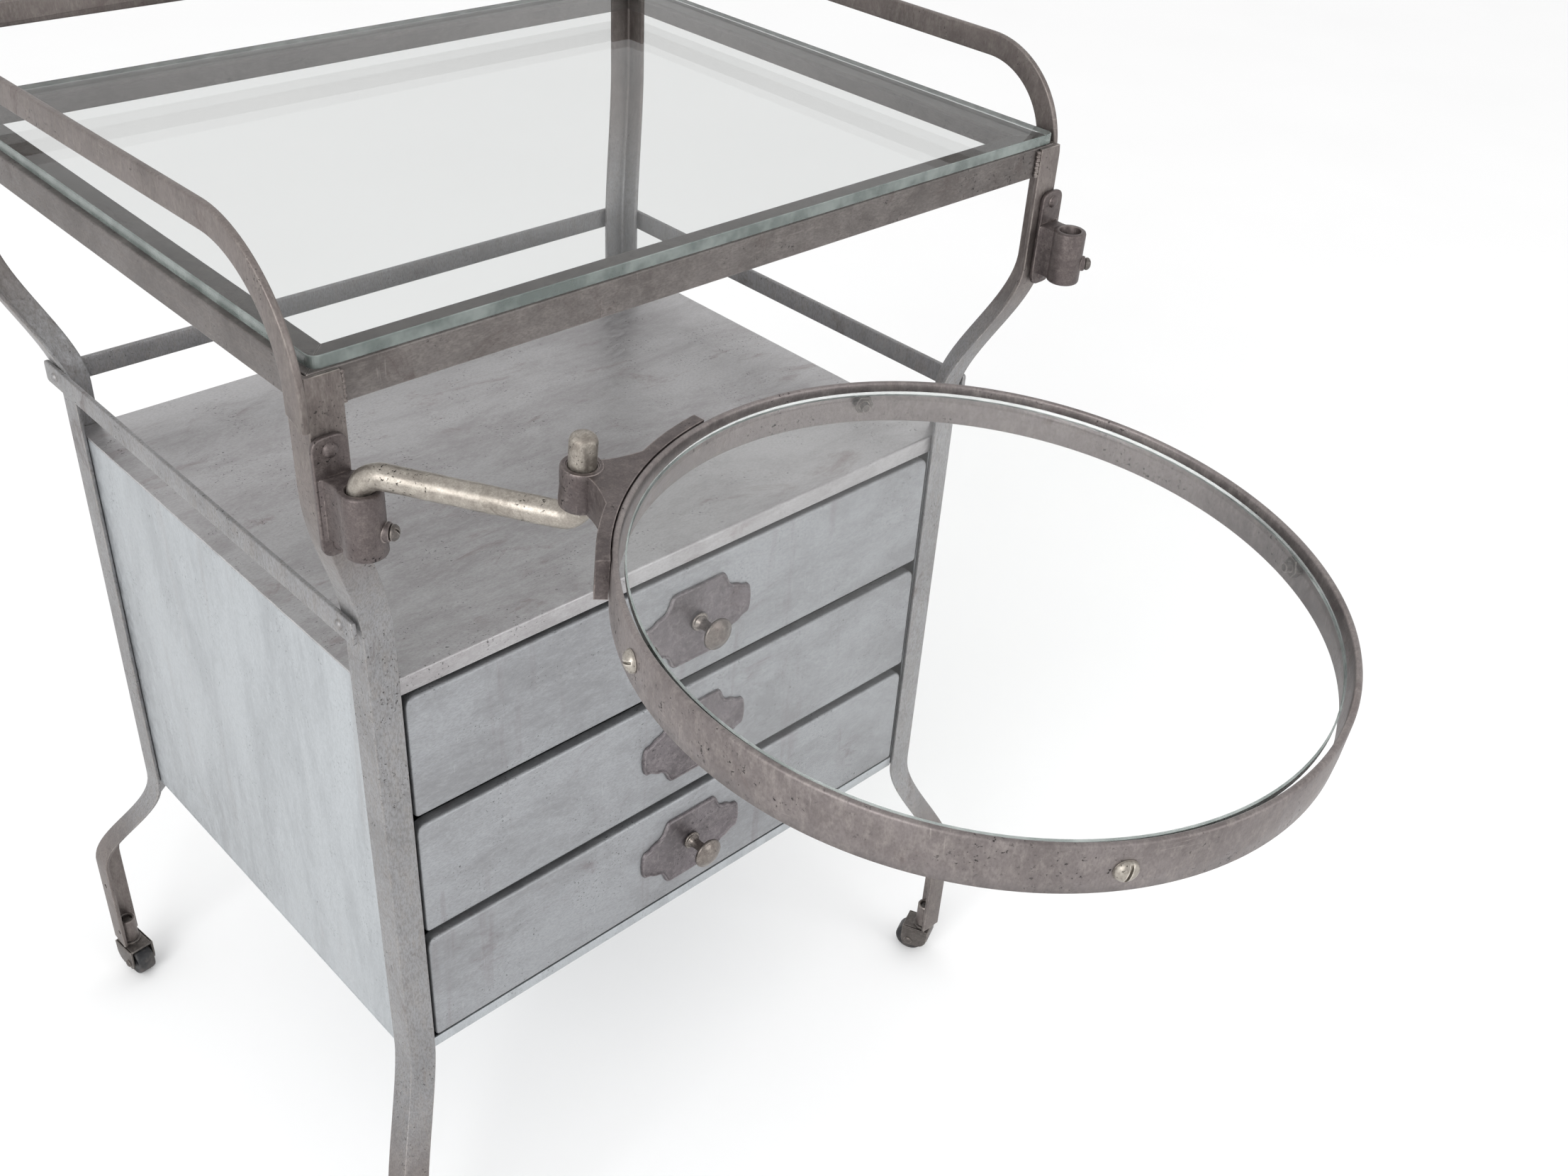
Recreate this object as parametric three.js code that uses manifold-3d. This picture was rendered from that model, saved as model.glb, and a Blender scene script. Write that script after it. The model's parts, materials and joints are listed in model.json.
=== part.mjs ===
// Instrument cabinet table: an angle-iron frame with a glass top and a gallery rail, a chest of three
// sheet-metal drawers, a round glass tray on a swinging arm, and four small casters.
// Millimetres, +X along the drawer fronts, +Y to the back, +Z up.
import * as THREE from 'three';
import { mergeVertices } from 'three/addons/utils/BufferGeometryUtils.js';
import Module from 'manifold-3d';

const wasm = await Module();
wasm.setup();

// ---- driving dimensions ----
const GAP = 0.3;               // clearance kept between pieces that touch
const SHEET = 1.2;             // cabinet sheet thickness

const TOP_WIDTH = 534;         // across the outer corners of the legs
const TOP_DEPTH = 433;
const FRAME_HEIGHT = 733;      // floor to the top of the front legs
const ANGLE = 19;              // angle-iron flange width
const ANGLE_THICK = 3;

const LEG_BOTTOM = 31;
const LEG_INSET = 31.5;        // how far the legs step in, along X and along Y, beside the cabinet
const UPPER_BEND_END = 551;    // height where the step in is complete
const LOWER_BEND_LENGTH = 98;
const LEG_STEP = 9;            // length of one swept slice of a leg
const BACK_POST = 54;          // back legs run on above the frame to carry the gallery

const CABINET_TOP = 521;
const CABINET_BOTTOM = 218.5;
const APRON = 12;
const BOTTOM_LIP = 8;

const DRAWER_COUNT = 3;
const DRAWER_HEIGHT = 87;
const DRAWER_PITCH = 95;
const LOWEST_DRAWER = 228.5;
const DRAWER_DEPTH = 341;
const FRONT_DEPTH = 8;
const PULL_WIDTH = 90;
const PULL_HEIGHT = 57;

const BAR = 15;                // flat bar of the gallery and guard rails
const BAR_THICK = 4;
const GUARD_THICK = 3;
const GALLERY_HEIGHT = 46.5;   // centre line of the gallery above the frame, at the back corners

const GLASS_THICK = 6.5;
const ROD_RADIUS = 6.35;
const BARREL_RADIUS = 10.25;
const BARREL_HEIGHT = 34.5;
const SOCKET_BORE = 6.7;
const ARM_REACH = 103.5;       // socket axis to pin axis
const ARM_HEADING = -56.1;     // degrees from +X
const TRAY_HEADING = -59.4;
const TRAY_REACH = 178;        // pin axis to hoop centre
const LEAN_HEADING = -80.5;    // the pin leans this way,
const TRAY_DROOP = 4.2;        // by this many degrees
const HOOP_RADIUS = 153.9;
const HOOP_THICK = 3;
const HOOP_HEIGHT = 23.8;
const PIN_HEIGHT = 45;         // above the rod's centre line
const BOSS_BOTTOM = 8.3;
const BOSS_TOP = 28;

const WHEEL_RADIUS = 12.7;
const WHEEL_WIDTH = 15;
const CASTER_TRAIL = 9;

const halfWidth = TOP_WIDTH / 2;
const halfDepth = TOP_DEPTH / 2;
const degrees = Math.PI / 180;

// ---- materials ----
function finish(color, roughness, metalness) {
  return { color, roughness, metalness };
}
const FRAME_STEEL = finish(0x77706c, 0.5, 0.85);
const CABINET_STEEL = finish(0x9aa0a3, 0.45, 0.85);
const LID_STEEL = finish(0x7f787a, 0.5, 0.8);
const NICKEL = finish(0xb9b5a8, 0.3, 1.0);
const PLATE_STEEL = finish(0x6f6b70, 0.35, 0.9);
const KNOB_STEEL = finish(0x8a7f76, 0.3, 0.9);
const GLASS = finish(0x9dbfae, 0.08, 0.0);
const WHEEL_RUBBER = finish(0x3a3a40, 0.7, 0.0);

// ---- solids ----
function toSolid(geometry) {
  const bare = new THREE.BufferGeometry();
  bare.setAttribute('position', geometry.getAttribute('position').clone());
  if (geometry.index) bare.setIndex(geometry.index.clone());
  const merged = mergeVertices(bare, 1e-4);
  const vertProperties = new Float32Array(merged.getAttribute('position').array);
  const triVerts = new Uint32Array(merged.index.array);
  return new wasm.Manifold(new wasm.Mesh({ numProp: 3, vertProperties, triVerts }));
}

function toGeometry(solid) {
  const mesh = solid.getMesh();
  const geometry = new THREE.BufferGeometry();
  geometry.setAttribute('position', new THREE.BufferAttribute(new Float32Array(mesh.vertProperties), 3));
  geometry.setIndex(new THREE.BufferAttribute(new Uint32Array(mesh.triVerts), 1));
  return geometry;
}

function join(...geometries) {
  return toGeometry(geometries.map(toSolid).reduce((whole, piece) => whole.add(piece)));
}

function cut(geometry, ...tools) {
  return toGeometry(tools.map(toSolid).reduce((whole, tool) => whole.subtract(tool), toSolid(geometry)));
}

// A box given by its lowest and highest coordinate along each axis.
function block(x0, x1, y0, y1, z0, z1) {
  const geometry = new THREE.BoxGeometry(x1 - x0, y1 - y0, z1 - z0);
  return geometry.translate((x0 + x1) / 2, (y0 + y1) / 2, (z0 + z1) / 2);
}

// An upright cylinder standing at (x, y) between two heights.
function post(radius, x, y, z0, z1, sides = 32) {
  const geometry = new THREE.CylinderGeometry(radius, radius, z1 - z0, sides);
  return geometry.rotateX(Math.PI / 2).translate(x, y, (z0 + z1) / 2);
}

// A solid of revolution about +Z from [radius, height] pairs.
function turned(profile, sides = 48) {
  const points = profile.map(([radius, height]) => new THREE.Vector2(radius, height));
  return new THREE.LatheGeometry(points, sides).rotateX(Math.PI / 2);
}

function ring(inner, outer, z0, z1, sides = 48) {
  return turned([[inner, z0], [outer, z0], [outer, z1], [inner, z1], [inner, z0]], sides);
}

function polygon(points) {
  return new THREE.Shape(points.map(([x, y]) => new THREE.Vector2(x, y)));
}

function prism(shape, depth, curveSegments = 8) {
  return new THREE.ExtrudeGeometry(shape, { depth, bevelEnabled: false, curveSegments });
}

// A prism whose drawing lies in the YZ plane and whose depth runs along +X from x0.
function sidePrism(shape, x0, depth, curveSegments = 16) {
  const geometry = prism(shape, depth, curveSegments);
  return geometry.rotateX(Math.PI / 2).rotateZ(Math.PI / 2).translate(x0, 0, 0);
}

// A prism whose drawing lies in the XZ plane and whose depth runs back along +Y from y0.
function frontPrism(shape, y0, depth, curveSegments = 8) {
  return prism(shape, depth, curveSegments).rotateX(Math.PI / 2).translate(0, y0 + depth, 0);
}

function roundedRectangle(x0, x1, y0, y1, radius) {
  const shape = new THREE.Shape();
  shape.moveTo(x0 + radius, y0);
  shape.lineTo(x1 - radius, y0);
  shape.absarc(x1 - radius, y0 + radius, radius, -Math.PI / 2, 0);
  shape.lineTo(x1, y1 - radius);
  shape.absarc(x1 - radius, y1 - radius, radius, 0, Math.PI / 2);
  shape.lineTo(x0 + radius, y1);
  shape.absarc(x0 + radius, y1 - radius, radius, Math.PI / 2, Math.PI);
  shape.lineTo(x0, y0 + radius);
  shape.absarc(x0 + radius, y0 + radius, radius, Math.PI, Math.PI * 1.5);
  return shape;
}

// ---- assembly helper ----
const table = new THREE.Group();

function place(name, geometry, look, parent = table) {
  const mesh = new THREE.Mesh(geometry, new THREE.MeshStandardMaterial(look));
  mesh.name = name;
  parent.add(mesh);
  return mesh;
}

// ---- legs ----
function smooth(from, to, value) {
  const t = THREE.MathUtils.clamp((value - from) / (to - from), 0, 1);
  return t * t * (3 - 2 * t);
}

// The legs are bent by hand and differ a little: upper and lower are the heights where a leg's two
// bends start, and flare is how far its foot stands in from its top corner.
const CORNERS = [
  { name: 'front_left', x: -halfWidth, y: -halfDepth, turn: 0, post: 0, caster: -150,
    upper: 671, lower: 224, flare: -4 },
  { name: 'front_right', x: halfWidth, y: -halfDepth, turn: 90, post: 0, caster: 113,
    upper: 655, lower: 216, flare: -1 },
  { name: 'back_right', x: halfWidth, y: halfDepth, turn: 180, post: BACK_POST, caster: 60,
    upper: 671, lower: 224, flare: -4 },
  { name: 'back_left', x: -halfWidth, y: halfDepth, turn: 270, post: BACK_POST, caster: -84,
    upper: 655, lower: 216, flare: -9 },
];

// How far a leg stands in from its top corner, along X and along Y, at a height.
function legInset(corner, height) {
  const stepIn = LEG_INSET * smooth(corner.upper, UPPER_BEND_END, height);
  const bendEnd = corner.lower - LOWER_BEND_LENGTH;
  return stepIn + (corner.flare - LEG_INSET) * smooth(corner.lower, bendEnd, height);
}

const CASTER_SLEEVE = { radius: 6.5, bore: 4.3, height: 22, offset: 9.2 };

// A leg drawn with its outer corner on the Z axis and its flanges along +X and +Y.
function legGeometry(corner) {
  const section = polygon([[0, 0], [ANGLE, 0], [ANGLE, ANGLE_THICK], [ANGLE_THICK, ANGLE_THICK],
    [ANGLE_THICK, ANGLE], [0, ANGLE]]);
  const length = FRAME_HEIGHT + corner.post - LEG_BOTTOM;
  const steps = Math.round(length / LEG_STEP);
  const geometry = new THREE.ExtrudeGeometry(section, { depth: length, steps, bevelEnabled: false });
  const position = geometry.getAttribute('position');
  for (let i = 0; i < position.count; i += 1) {
    const height = LEG_BOTTOM + position.getZ(i);
    const inset = legInset(corner, height);
    position.setXYZ(i, position.getX(i) + inset, position.getY(i) + inset, height);
  }
  const at = corner.flare + CASTER_SLEEVE.offset;
  const sleeveTop = LEG_BOTTOM + CASTER_SLEEVE.height;
  const sleeve = post(CASTER_SLEEVE.radius, at, at, LEG_BOTTOM, sleeveTop, 24);
  const bore = post(CASTER_SLEEVE.bore, at, at, LEG_BOTTOM - 1, sleeveTop + 1, 24);
  return cut(join(geometry, sleeve), bore);
}

for (const corner of CORNERS) {
  const leg = place(`leg_${corner.name}`, legGeometry(corner), FRAME_STEEL);
  leg.position.set(corner.x, corner.y, 0);
  leg.rotation.z = corner.turn * degrees;
}

// ---- top frame ----
// One angle rail drawn along X with its upright face on the -Y side, and mitred at both ends.
function topRailGeometry(outerLength) {
  const section = polygon([[0, 0], [0, -ANGLE], [ANGLE_THICK, -ANGLE],
    [ANGLE_THICK, -ANGLE_THICK], [ANGLE, -ANGLE_THICK], [ANGLE, 0]]);
  const geometry = sidePrism(section, -outerLength / 2, outerLength, 1);
  const position = geometry.getAttribute('position');
  for (let i = 0; i < position.count; i += 1) {
    const x = position.getX(i);
    const shortened = outerLength / 2 - position.getY(i) - GAP / 2;
    position.setX(i, Math.sign(x) * shortened);
  }
  return geometry;
}

const RAIL_SET = ANGLE_THICK + GAP;
const RAIL_TOP = FRAME_HEIGHT + GAP;
const RAILS = [
  { name: 'front', length: TOP_WIDTH - 2 * RAIL_SET, x: 0, y: -halfDepth + RAIL_SET, turn: 0 },
  { name: 'right', length: TOP_DEPTH - 2 * RAIL_SET, x: halfWidth - RAIL_SET, y: 0, turn: 90 },
  { name: 'back', length: TOP_WIDTH - 2 * RAIL_SET, x: 0, y: halfDepth - RAIL_SET, turn: 180 },
  { name: 'left', length: TOP_DEPTH - 2 * RAIL_SET, x: -halfWidth + RAIL_SET, y: 0, turn: 270 },
];
for (const rail of RAILS) {
  const mesh = place(`top_rail_${rail.name}`, topRailGeometry(rail.length), FRAME_STEEL);
  mesh.position.set(rail.x, rail.y, RAIL_TOP);
  mesh.rotation.z = rail.turn * degrees;
}

// ---- glass top: loose on the frame, set back from the left and the back ----
const GLASS_MARGIN = { left: 6.8, right: 3.6, front: 4, back: 9.2 };
const glassSeat = RAIL_TOP + GAP;
const glassOutline = roundedRectangle(-halfWidth + GLASS_MARGIN.left, halfWidth - GLASS_MARGIN.right,
  -halfDepth + GLASS_MARGIN.front, halfDepth - GLASS_MARGIN.back, 5);
place('glass_top', prism(glassOutline, GLASS_THICK, 4).translate(0, 0, glassSeat), GLASS);

// ---- gallery ----
// A flat bar standing on edge, drawn in the YZ plane: up the front leg, round a bend, then straight
// back. lift is how much higher the bar is at the front bend than at its back end.
function galleryShape(frontY, height, radius, lift, drop) {
  const backY = halfDepth;
  const top = FRAME_HEIGHT + height + lift;
  const centreY = frontY + radius;
  const centreZ = top - radius;
  const slope = Math.atan2(-lift, backY - centreY);
  const turnEnd = Math.PI / 2 + slope;
  const outer = radius + BAR / 2;
  const inner = radius - BAR / 2;
  const run = backY - centreY;
  const shape = new THREE.Shape();
  shape.moveTo(frontY - BAR / 2, FRAME_HEIGHT - drop);
  shape.lineTo(frontY - BAR / 2, centreZ);
  shape.absarc(centreY, centreZ, outer, Math.PI, turnEnd, true);
  shape.lineTo(backY, top + BAR / 2 + run * Math.tan(slope));
  shape.lineTo(backY, top - BAR / 2 + run * Math.tan(slope));
  shape.lineTo(centreY + inner * Math.cos(turnEnd), centreZ + inner * Math.sin(turnEnd));
  shape.absarc(centreY, centreZ, inner, turnEnd, Math.PI, false);
  shape.lineTo(frontY + BAR / 2, FRAME_HEIGHT - drop + BAR / 3);
  return shape;
}

const leftBar = galleryShape(-halfDepth + 5, GALLERY_HEIGHT, 65.5, 7, 25);
const rightBar = galleryShape(-halfDepth + 13, GALLERY_HEIGHT, 54.5, 0, 25);
place('gallery_left', sidePrism(leftBar, -halfWidth - GAP - BAR_THICK, BAR_THICK, 12), FRAME_STEEL);
place('gallery_right', sidePrism(rightBar, halfWidth + GAP, BAR_THICK, 12), FRAME_STEEL);
const backBarZ = FRAME_HEIGHT + GALLERY_HEIGHT - BAR / 2;
const backBarX = halfWidth + GAP + BAR_THICK;
place('gallery_back', block(-backBarX, backBarX, halfDepth + GAP, halfDepth + GAP + BAR_THICK,
  backBarZ, backBarZ + BAR), FRAME_STEEL);

// ---- guard rails just above the cabinet ----
const GUARD_LEFT_Z = 565.5;
const GUARD_Z = 559;

// The face on which a guard rail lies: just outside the legs, whose inset grows downward here.
function guardFace(half, centreZ) {
  return half - Math.min(...CORNERS.map((corner) => legInset(corner, centreZ + BAR / 2))) + GAP;
}

function guardRail(length, radius) {
  return roundedRectangle(-length / 2, length / 2, -BAR / 2, BAR / 2, radius);
}

const guardLength = 2 * (halfDepth - LEG_INSET) + 4;
const sideGuard = prism(guardRail(guardLength, 2.5), GUARD_THICK, 3);
sideGuard.rotateX(Math.PI / 2).rotateZ(Math.PI / 2);
const leftGuard = place('guard_left', sideGuard, FRAME_STEEL);
leftGuard.position.set(-guardFace(halfWidth, GUARD_LEFT_Z) - GUARD_THICK, 0, GUARD_LEFT_Z);
const rightGuard = place('guard_right', sideGuard.clone(), FRAME_STEEL);
rightGuard.position.set(guardFace(halfWidth, GUARD_Z), 0, GUARD_Z);
const backGuardLength = 2 * guardFace(halfWidth, GUARD_LEFT_Z) - 2 * GAP;
const backGuard = place('guard_back', prism(guardRail(backGuardLength, 2.5), GUARD_THICK, 3), FRAME_STEEL);
backGuard.geometry.rotateX(Math.PI / 2);
backGuard.position.set(0, guardFace(halfDepth, GUARD_Z) + GUARD_THICK + GAP, GUARD_Z);

// ---- cabinet ----
const cabinetX = halfWidth - LEG_INSET - ANGLE_THICK - GAP;
const cabinetY = halfDepth - LEG_INSET - ANGLE_THICK - GAP;
const openingX = halfWidth - LEG_INSET - ANGLE;      // between the front legs' flanges
const frontFace = -cabinetY - 2;                     // outer face of the drawer fronts
const lidUnder = CABINET_TOP - SHEET;
const floorTop = CABINET_BOTTOM + SHEET;
const innerX = cabinetX - SHEET - GAP;
const innerY = cabinetY - SHEET - GAP;

const lid = block(-cabinetX, cabinetX, -cabinetY, cabinetY, lidUnder, CABINET_TOP);
const apron = block(-cabinetX, cabinetX, -cabinetY, -cabinetY + SHEET, CABINET_TOP - APRON, CABINET_TOP);
place('cabinet_top', join(lid, apron), LID_STEEL);

// A side panel is folded inward at its front edge, behind the leg. Its top front corner is notched
// for the apron.
function sidePanel() {
  const foldY = -cabinetY + SHEET + GAP;
  const wall = block(-cabinetX, -cabinetX + SHEET, foldY, cabinetY, floorTop, lidUnder - GAP);
  const fold = block(-cabinetX, -openingX - 2, foldY, foldY + SHEET, floorTop, lidUnder - GAP);
  return join(wall, fold);
}
place('cabinet_side_left', sidePanel(), CABINET_STEEL);
const rightPanel = place('cabinet_side_right', sidePanel(), CABINET_STEEL);
rightPanel.geometry.scale(-1, 1, 1);
rightPanel.geometry.index.array.reverse();

place('cabinet_back', block(-innerX, innerX, innerY + GAP, innerY + GAP + SHEET,
  floorTop + GAP, lidUnder - GAP), CABINET_STEEL);

const floorPlate = block(-cabinetX, cabinetX, -cabinetY, cabinetY, CABINET_BOTTOM, floorTop - GAP);
const floorTongue = block(-openingX + 1, openingX - 1, frontFace + 1, -cabinetY + 1,
  CABINET_BOTTOM, floorTop - GAP);
const floorLip = block(-openingX + 1, openingX - 1, frontFace + 1, frontFace + 1 + SHEET,
  CABINET_BOTTOM, CABINET_BOTTOM + BOTTOM_LIP);
place('cabinet_floor', join(floorPlate, floorTongue, floorLip), CABINET_STEEL);

// ---- drawers ----
const boxX = openingX - 5.5;
const boxFront = frontFace + FRONT_DEPTH + GAP;
const boxBack = boxFront + DRAWER_DEPTH;
const BOX_LIFT = 3;            // drawer box above the lower edge of its front
const BOX_HEIGHT = 68;

// A runner carries one side of a drawer on a ledge and guides it with an upstand.
function runnerGeometry(side) {
  const wallX = innerX;
  const ledgeX = boxX - 5;
  const guideX = boxX + 1.2;
  const profile = polygon([[ledgeX, 0], [wallX, 0], [wallX, 12], [wallX - SHEET, 12], [wallX - SHEET, SHEET],
    [guideX + SHEET, SHEET], [guideX + SHEET, 10], [guideX, 10], [guideX, SHEET], [ledgeX, SHEET]]);
  const start = boxFront + 1;
  const end = innerY - 1;
  const geometry = frontPrism(profile, start, end - start, 1);
  if (side < 0) geometry.rotateZ(Math.PI).translate(0, start + end, 0);
  return geometry;
}

function drawerBox() {
  const tub = block(-boxX, boxX, boxFront, boxBack, 0, BOX_HEIGHT);
  const hollow = block(-boxX + 1, boxX - 1, boxFront + 1, boxBack - 1, 1, BOX_HEIGHT + 1);
  return cut(tub, hollow);
}

// The front is a shallow pan, open at the back, with its two upper corners rounded.
function drawerFrontShape(halfWidthOfFront, low, high, radius) {
  const shape = new THREE.Shape();
  shape.moveTo(-halfWidthOfFront, low);
  shape.lineTo(halfWidthOfFront, low);
  shape.lineTo(halfWidthOfFront, high - radius);
  shape.absarc(halfWidthOfFront - radius, high - radius, radius, 0, Math.PI / 2);
  shape.lineTo(-halfWidthOfFront + radius, high);
  shape.absarc(-halfWidthOfFront + radius, high - radius, radius, Math.PI / 2, Math.PI);
  return shape;
}

function drawerFront() {
  const half = openingX - 2.5;
  const shell = frontPrism(drawerFrontShape(half, 0, DRAWER_HEIGHT, 7), frontFace, FRONT_DEPTH);
  const hollowShape = drawerFrontShape(half - SHEET, SHEET, DRAWER_HEIGHT - SHEET, 7 - SHEET);
  return cut(shell, frontPrism(hollowShape, frontFace + SHEET, FRONT_DEPTH));
}

// The cartouche behind a knob: a raised straight centre with ogee shoulders and rounded ears.
function pullShape() {
  const rise = PULL_HEIGHT / 2;
  const wide = PULL_WIDTH / 2;
  const shape = new THREE.Shape();
  shape.moveTo(-20, rise);
  shape.lineTo(20, rise);
  shape.bezierCurveTo(24, rise, 25, rise - 12, 31, rise - 12.5);
  shape.bezierCurveTo(36, rise - 13, 38, rise - 17, 41, rise - 16);
  shape.quadraticCurveTo(wide, rise - 17, wide, 4);
  shape.lineTo(wide, -4);
  shape.quadraticCurveTo(wide, 17 - rise, 41, 16 - rise);
  shape.bezierCurveTo(38, 17 - rise, 36, 13 - rise, 31, 12.5 - rise);
  shape.bezierCurveTo(25, 12 - rise, 24, -rise, 20, -rise);
  shape.lineTo(-20, -rise);
  shape.bezierCurveTo(-24, -rise, -25, 12 - rise, -31, 12.5 - rise);
  shape.bezierCurveTo(-36, 13 - rise, -38, 17 - rise, -41, 16 - rise);
  shape.quadraticCurveTo(-wide, 17 - rise, -wide, -4);
  shape.lineTo(-wide, 4);
  shape.quadraticCurveTo(-wide, rise - 17, -41, rise - 16);
  shape.bezierCurveTo(-38, rise - 17, -36, rise - 13, -31, rise - 12.5);
  shape.bezierCurveTo(-25, rise - 12, -24, rise, -20, rise);
  return shape;
}

const knobProfile = [[0, 0], [6.5, 0], [6.5, 2.6], [4, 3.4], [3.4, 8], [4.2, 13], [8.6, 15.4], [10, 17.8],
  [9.4, 20.6], [6.4, 23], [0, 24]];

for (let level = 1; level <= DRAWER_COUNT; level += 1) {
  const low = LOWEST_DRAWER + (DRAWER_COUNT - level) * DRAWER_PITCH;
  for (const [side, label] of [[-1, 'left'], [1, 'right']]) {
    const runner = place(`runner_${level}_${label}`, runnerGeometry(side), CABINET_STEEL);
    runner.position.z = low + BOX_LIFT - GAP - SHEET;
  }
  place(`drawer_${level}_box`, drawerBox(), CABINET_STEEL).position.z = low + BOX_LIFT;
  place(`drawer_${level}_front`, drawerFront(), CABINET_STEEL).position.z = low;
  const pull = place(`drawer_${level}_pull_plate`, frontPrism(pullShape(), -1.5, 1.5, 3), PLATE_STEEL);
  pull.position.set(0, frontFace - GAP, low + DRAWER_HEIGHT / 2);
  const knob = place(`drawer_${level}_knob`, turned(knobProfile, 32), KNOB_STEEL);
  knob.position.set(0, frontFace - 1.5 - 2 * GAP, low + DRAWER_HEIGHT / 2);
  knob.rotation.x = Math.PI / 2;
}

// ---- arm sockets on the front legs ----
const SOCKET_TOP = 684.5;
const SOCKET_PLATE_TOP = 704;
const SOCKET_PLATE_HEIGHT = 63;
const SOCKET_PLATE_THICK = 3;
const SCREW_HEIGHT = 663;
const SCREW_HEADING = -50;

const BARREL_OUT = 22;         // barrel axis in front of the leg

function radial(geometry, heading, height) {
  return geometry.rotateY(Math.PI / 2).rotateZ(heading * degrees).translate(0, 0, height);
}

// Drawn with the barrel on the Z axis; the plate lies behind it, off-centre by shift.
function socketGeometry(shift) {
  const plateBack = BARREL_OUT - GAP;
  const plateFront = plateBack - SOCKET_PLATE_THICK;
  const low = SOCKET_PLATE_TOP - SOCKET_PLATE_HEIGHT;
  const outline = roundedRectangle(shift - 9.5, shift + 9.5, low, SOCKET_PLATE_TOP, 7);
  const plate = frontPrism(outline, plateFront, SOCKET_PLATE_THICK, 4);
  const bottom = SOCKET_TOP - BARREL_HEIGHT;
  const barrel = post(BARREL_RADIUS, 0, 0, bottom, SOCKET_TOP, 32);
  const web = block(shift - 5, shift + 5, 6, plateFront + 1, bottom + 2, SOCKET_TOP - 1);
  const boss = radial(post(4.5, 0, 0, 8, BARREL_RADIUS + 2.5, 16), SCREW_HEADING, SCREW_HEIGHT);
  const bore = post(SOCKET_BORE, 0, 0, bottom - 1, SOCKET_TOP + 1, 32);
  const tapped = radial(post(2.4, 0, 0, 4, BARREL_RADIUS + 4, 16), SCREW_HEADING, SCREW_HEIGHT);
  return cut(join(plate, barrel, web, boss), bore, tapped);
}

function setScrewGeometry() {
  const head = BARREL_RADIUS + 2.5 + GAP;
  const screw = turned([[0, SOCKET_BORE + 0.1], [2.1, SOCKET_BORE + 0.1], [2.1, head], [3.8, head],
    [3.8, head + 2], [2.6, head + 3.2], [0, head + 3.6]], 16);
  return radial(screw, SCREW_HEADING, SCREW_HEIGHT);
}

const socketY = -halfDepth - BARREL_OUT;
const socketX = { left: -halfWidth + 10.1, right: halfWidth - 6.5 };
const plateShift = { left: -2.5, right: 2.7 };
for (const label of ['left', 'right']) {
  const socket = place(`socket_${label}`, socketGeometry(plateShift[label]), FRAME_STEEL);
  socket.position.set(socketX[label], socketY, 0);
  place(`set_screw_${label}`, setScrewGeometry(), NICKEL).position.set(socketX[label], socketY, 0);
}

// ---- swing arm and tray ----
const ARM_BOTTOM = 653;
const ARM_LEVEL = 693.5;       // centre line of the run where it leaves the socket
const ARM_END_LEVEL = 689;
const SOCKET_BEND = 10;
const PIN_BEND = 8;

const arm = new THREE.Group();
arm.position.set(socketX.left, socketY, 0);
arm.rotation.z = ARM_HEADING * degrees;
table.add(arm);

// The pin carries the tray. Its frame has its origin on the rod's centre line and leans outward.
const pin = new THREE.Group();
pin.position.set(ARM_REACH, 0, ARM_END_LEVEL);
pin.rotation.set(0, TRAY_DROOP * degrees, (LEAN_HEADING - ARM_HEADING) * degrees, 'ZYX');
arm.add(pin);

// The rod's centre line in the arm's frame, rounded at its two corners.
function armPath() {
  const up = new THREE.Vector3(0, 0, 1).applyEuler(pin.rotation);
  const start = new THREE.Vector3(0, 0, ARM_BOTTOM);
  const elbow = new THREE.Vector3(0, 0, ARM_LEVEL);
  const knee = new THREE.Vector3(ARM_REACH, 0, ARM_END_LEVEL);
  const along = knee.clone().sub(elbow).normalize();
  const tip = knee.clone().addScaledVector(up, PIN_HEIGHT - 4);
  const elbowIn = new THREE.Vector3(0, 0, ARM_LEVEL - SOCKET_BEND);
  const elbowOut = elbow.clone().addScaledVector(along, SOCKET_BEND);
  const kneeIn = knee.clone().addScaledVector(along, -PIN_BEND);
  const kneeOut = knee.clone().addScaledVector(up, PIN_BEND);
  const path = new THREE.CurvePath();
  path.add(new THREE.LineCurve3(start, elbowIn));
  path.add(roundCorner(elbowIn, elbow, elbowOut));
  path.add(new THREE.LineCurve3(elbowOut, kneeIn));
  path.add(roundCorner(kneeIn, knee, kneeOut));
  path.add(new THREE.LineCurve3(kneeOut, tip));
  return path;
}

// A near-circular quarter turn between two straight runs.
function roundCorner(before, corner, after) {
  const pull = 0.55;
  const first = before.clone().lerp(corner, pull);
  const second = after.clone().lerp(corner, pull);
  return new THREE.CubicBezierCurve3(before, first, second, after);
}

const rodSection = new THREE.Shape();
rodSection.absarc(0, 0, ROD_RADIUS, 0, 2 * Math.PI);
const rod = new THREE.ExtrudeGeometry(rodSection,
  { extrudePath: armPath(), steps: 58, curveSegments: 10, bevelEnabled: false });
const domeProfile = [[0, -2], [ROD_RADIUS, -2], [ROD_RADIUS, 0], [5.4, 2.2], [3.2, 3.6], [0, 4]];
const dome = turned(domeProfile, 20).translate(0, 0, PIN_HEIGHT - 4);
dome.applyMatrix4(new THREE.Matrix4().makeRotationFromEuler(pin.rotation));
dome.translate(ARM_REACH, 0, ARM_END_LEVEL);
place('swing_arm', join(rod, dome), NICKEL, arm);

// The tray turns about the pin: the hoop's centre lies TRAY_REACH along this group's +X.
const tray = new THREE.Group();
tray.rotation.z = (TRAY_HEADING - LEAN_HEADING) * degrees;
pin.add(tray);

const SADDLE_THICK = 6;
const SADDLE_SWEEP = 22.5 * degrees;

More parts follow.
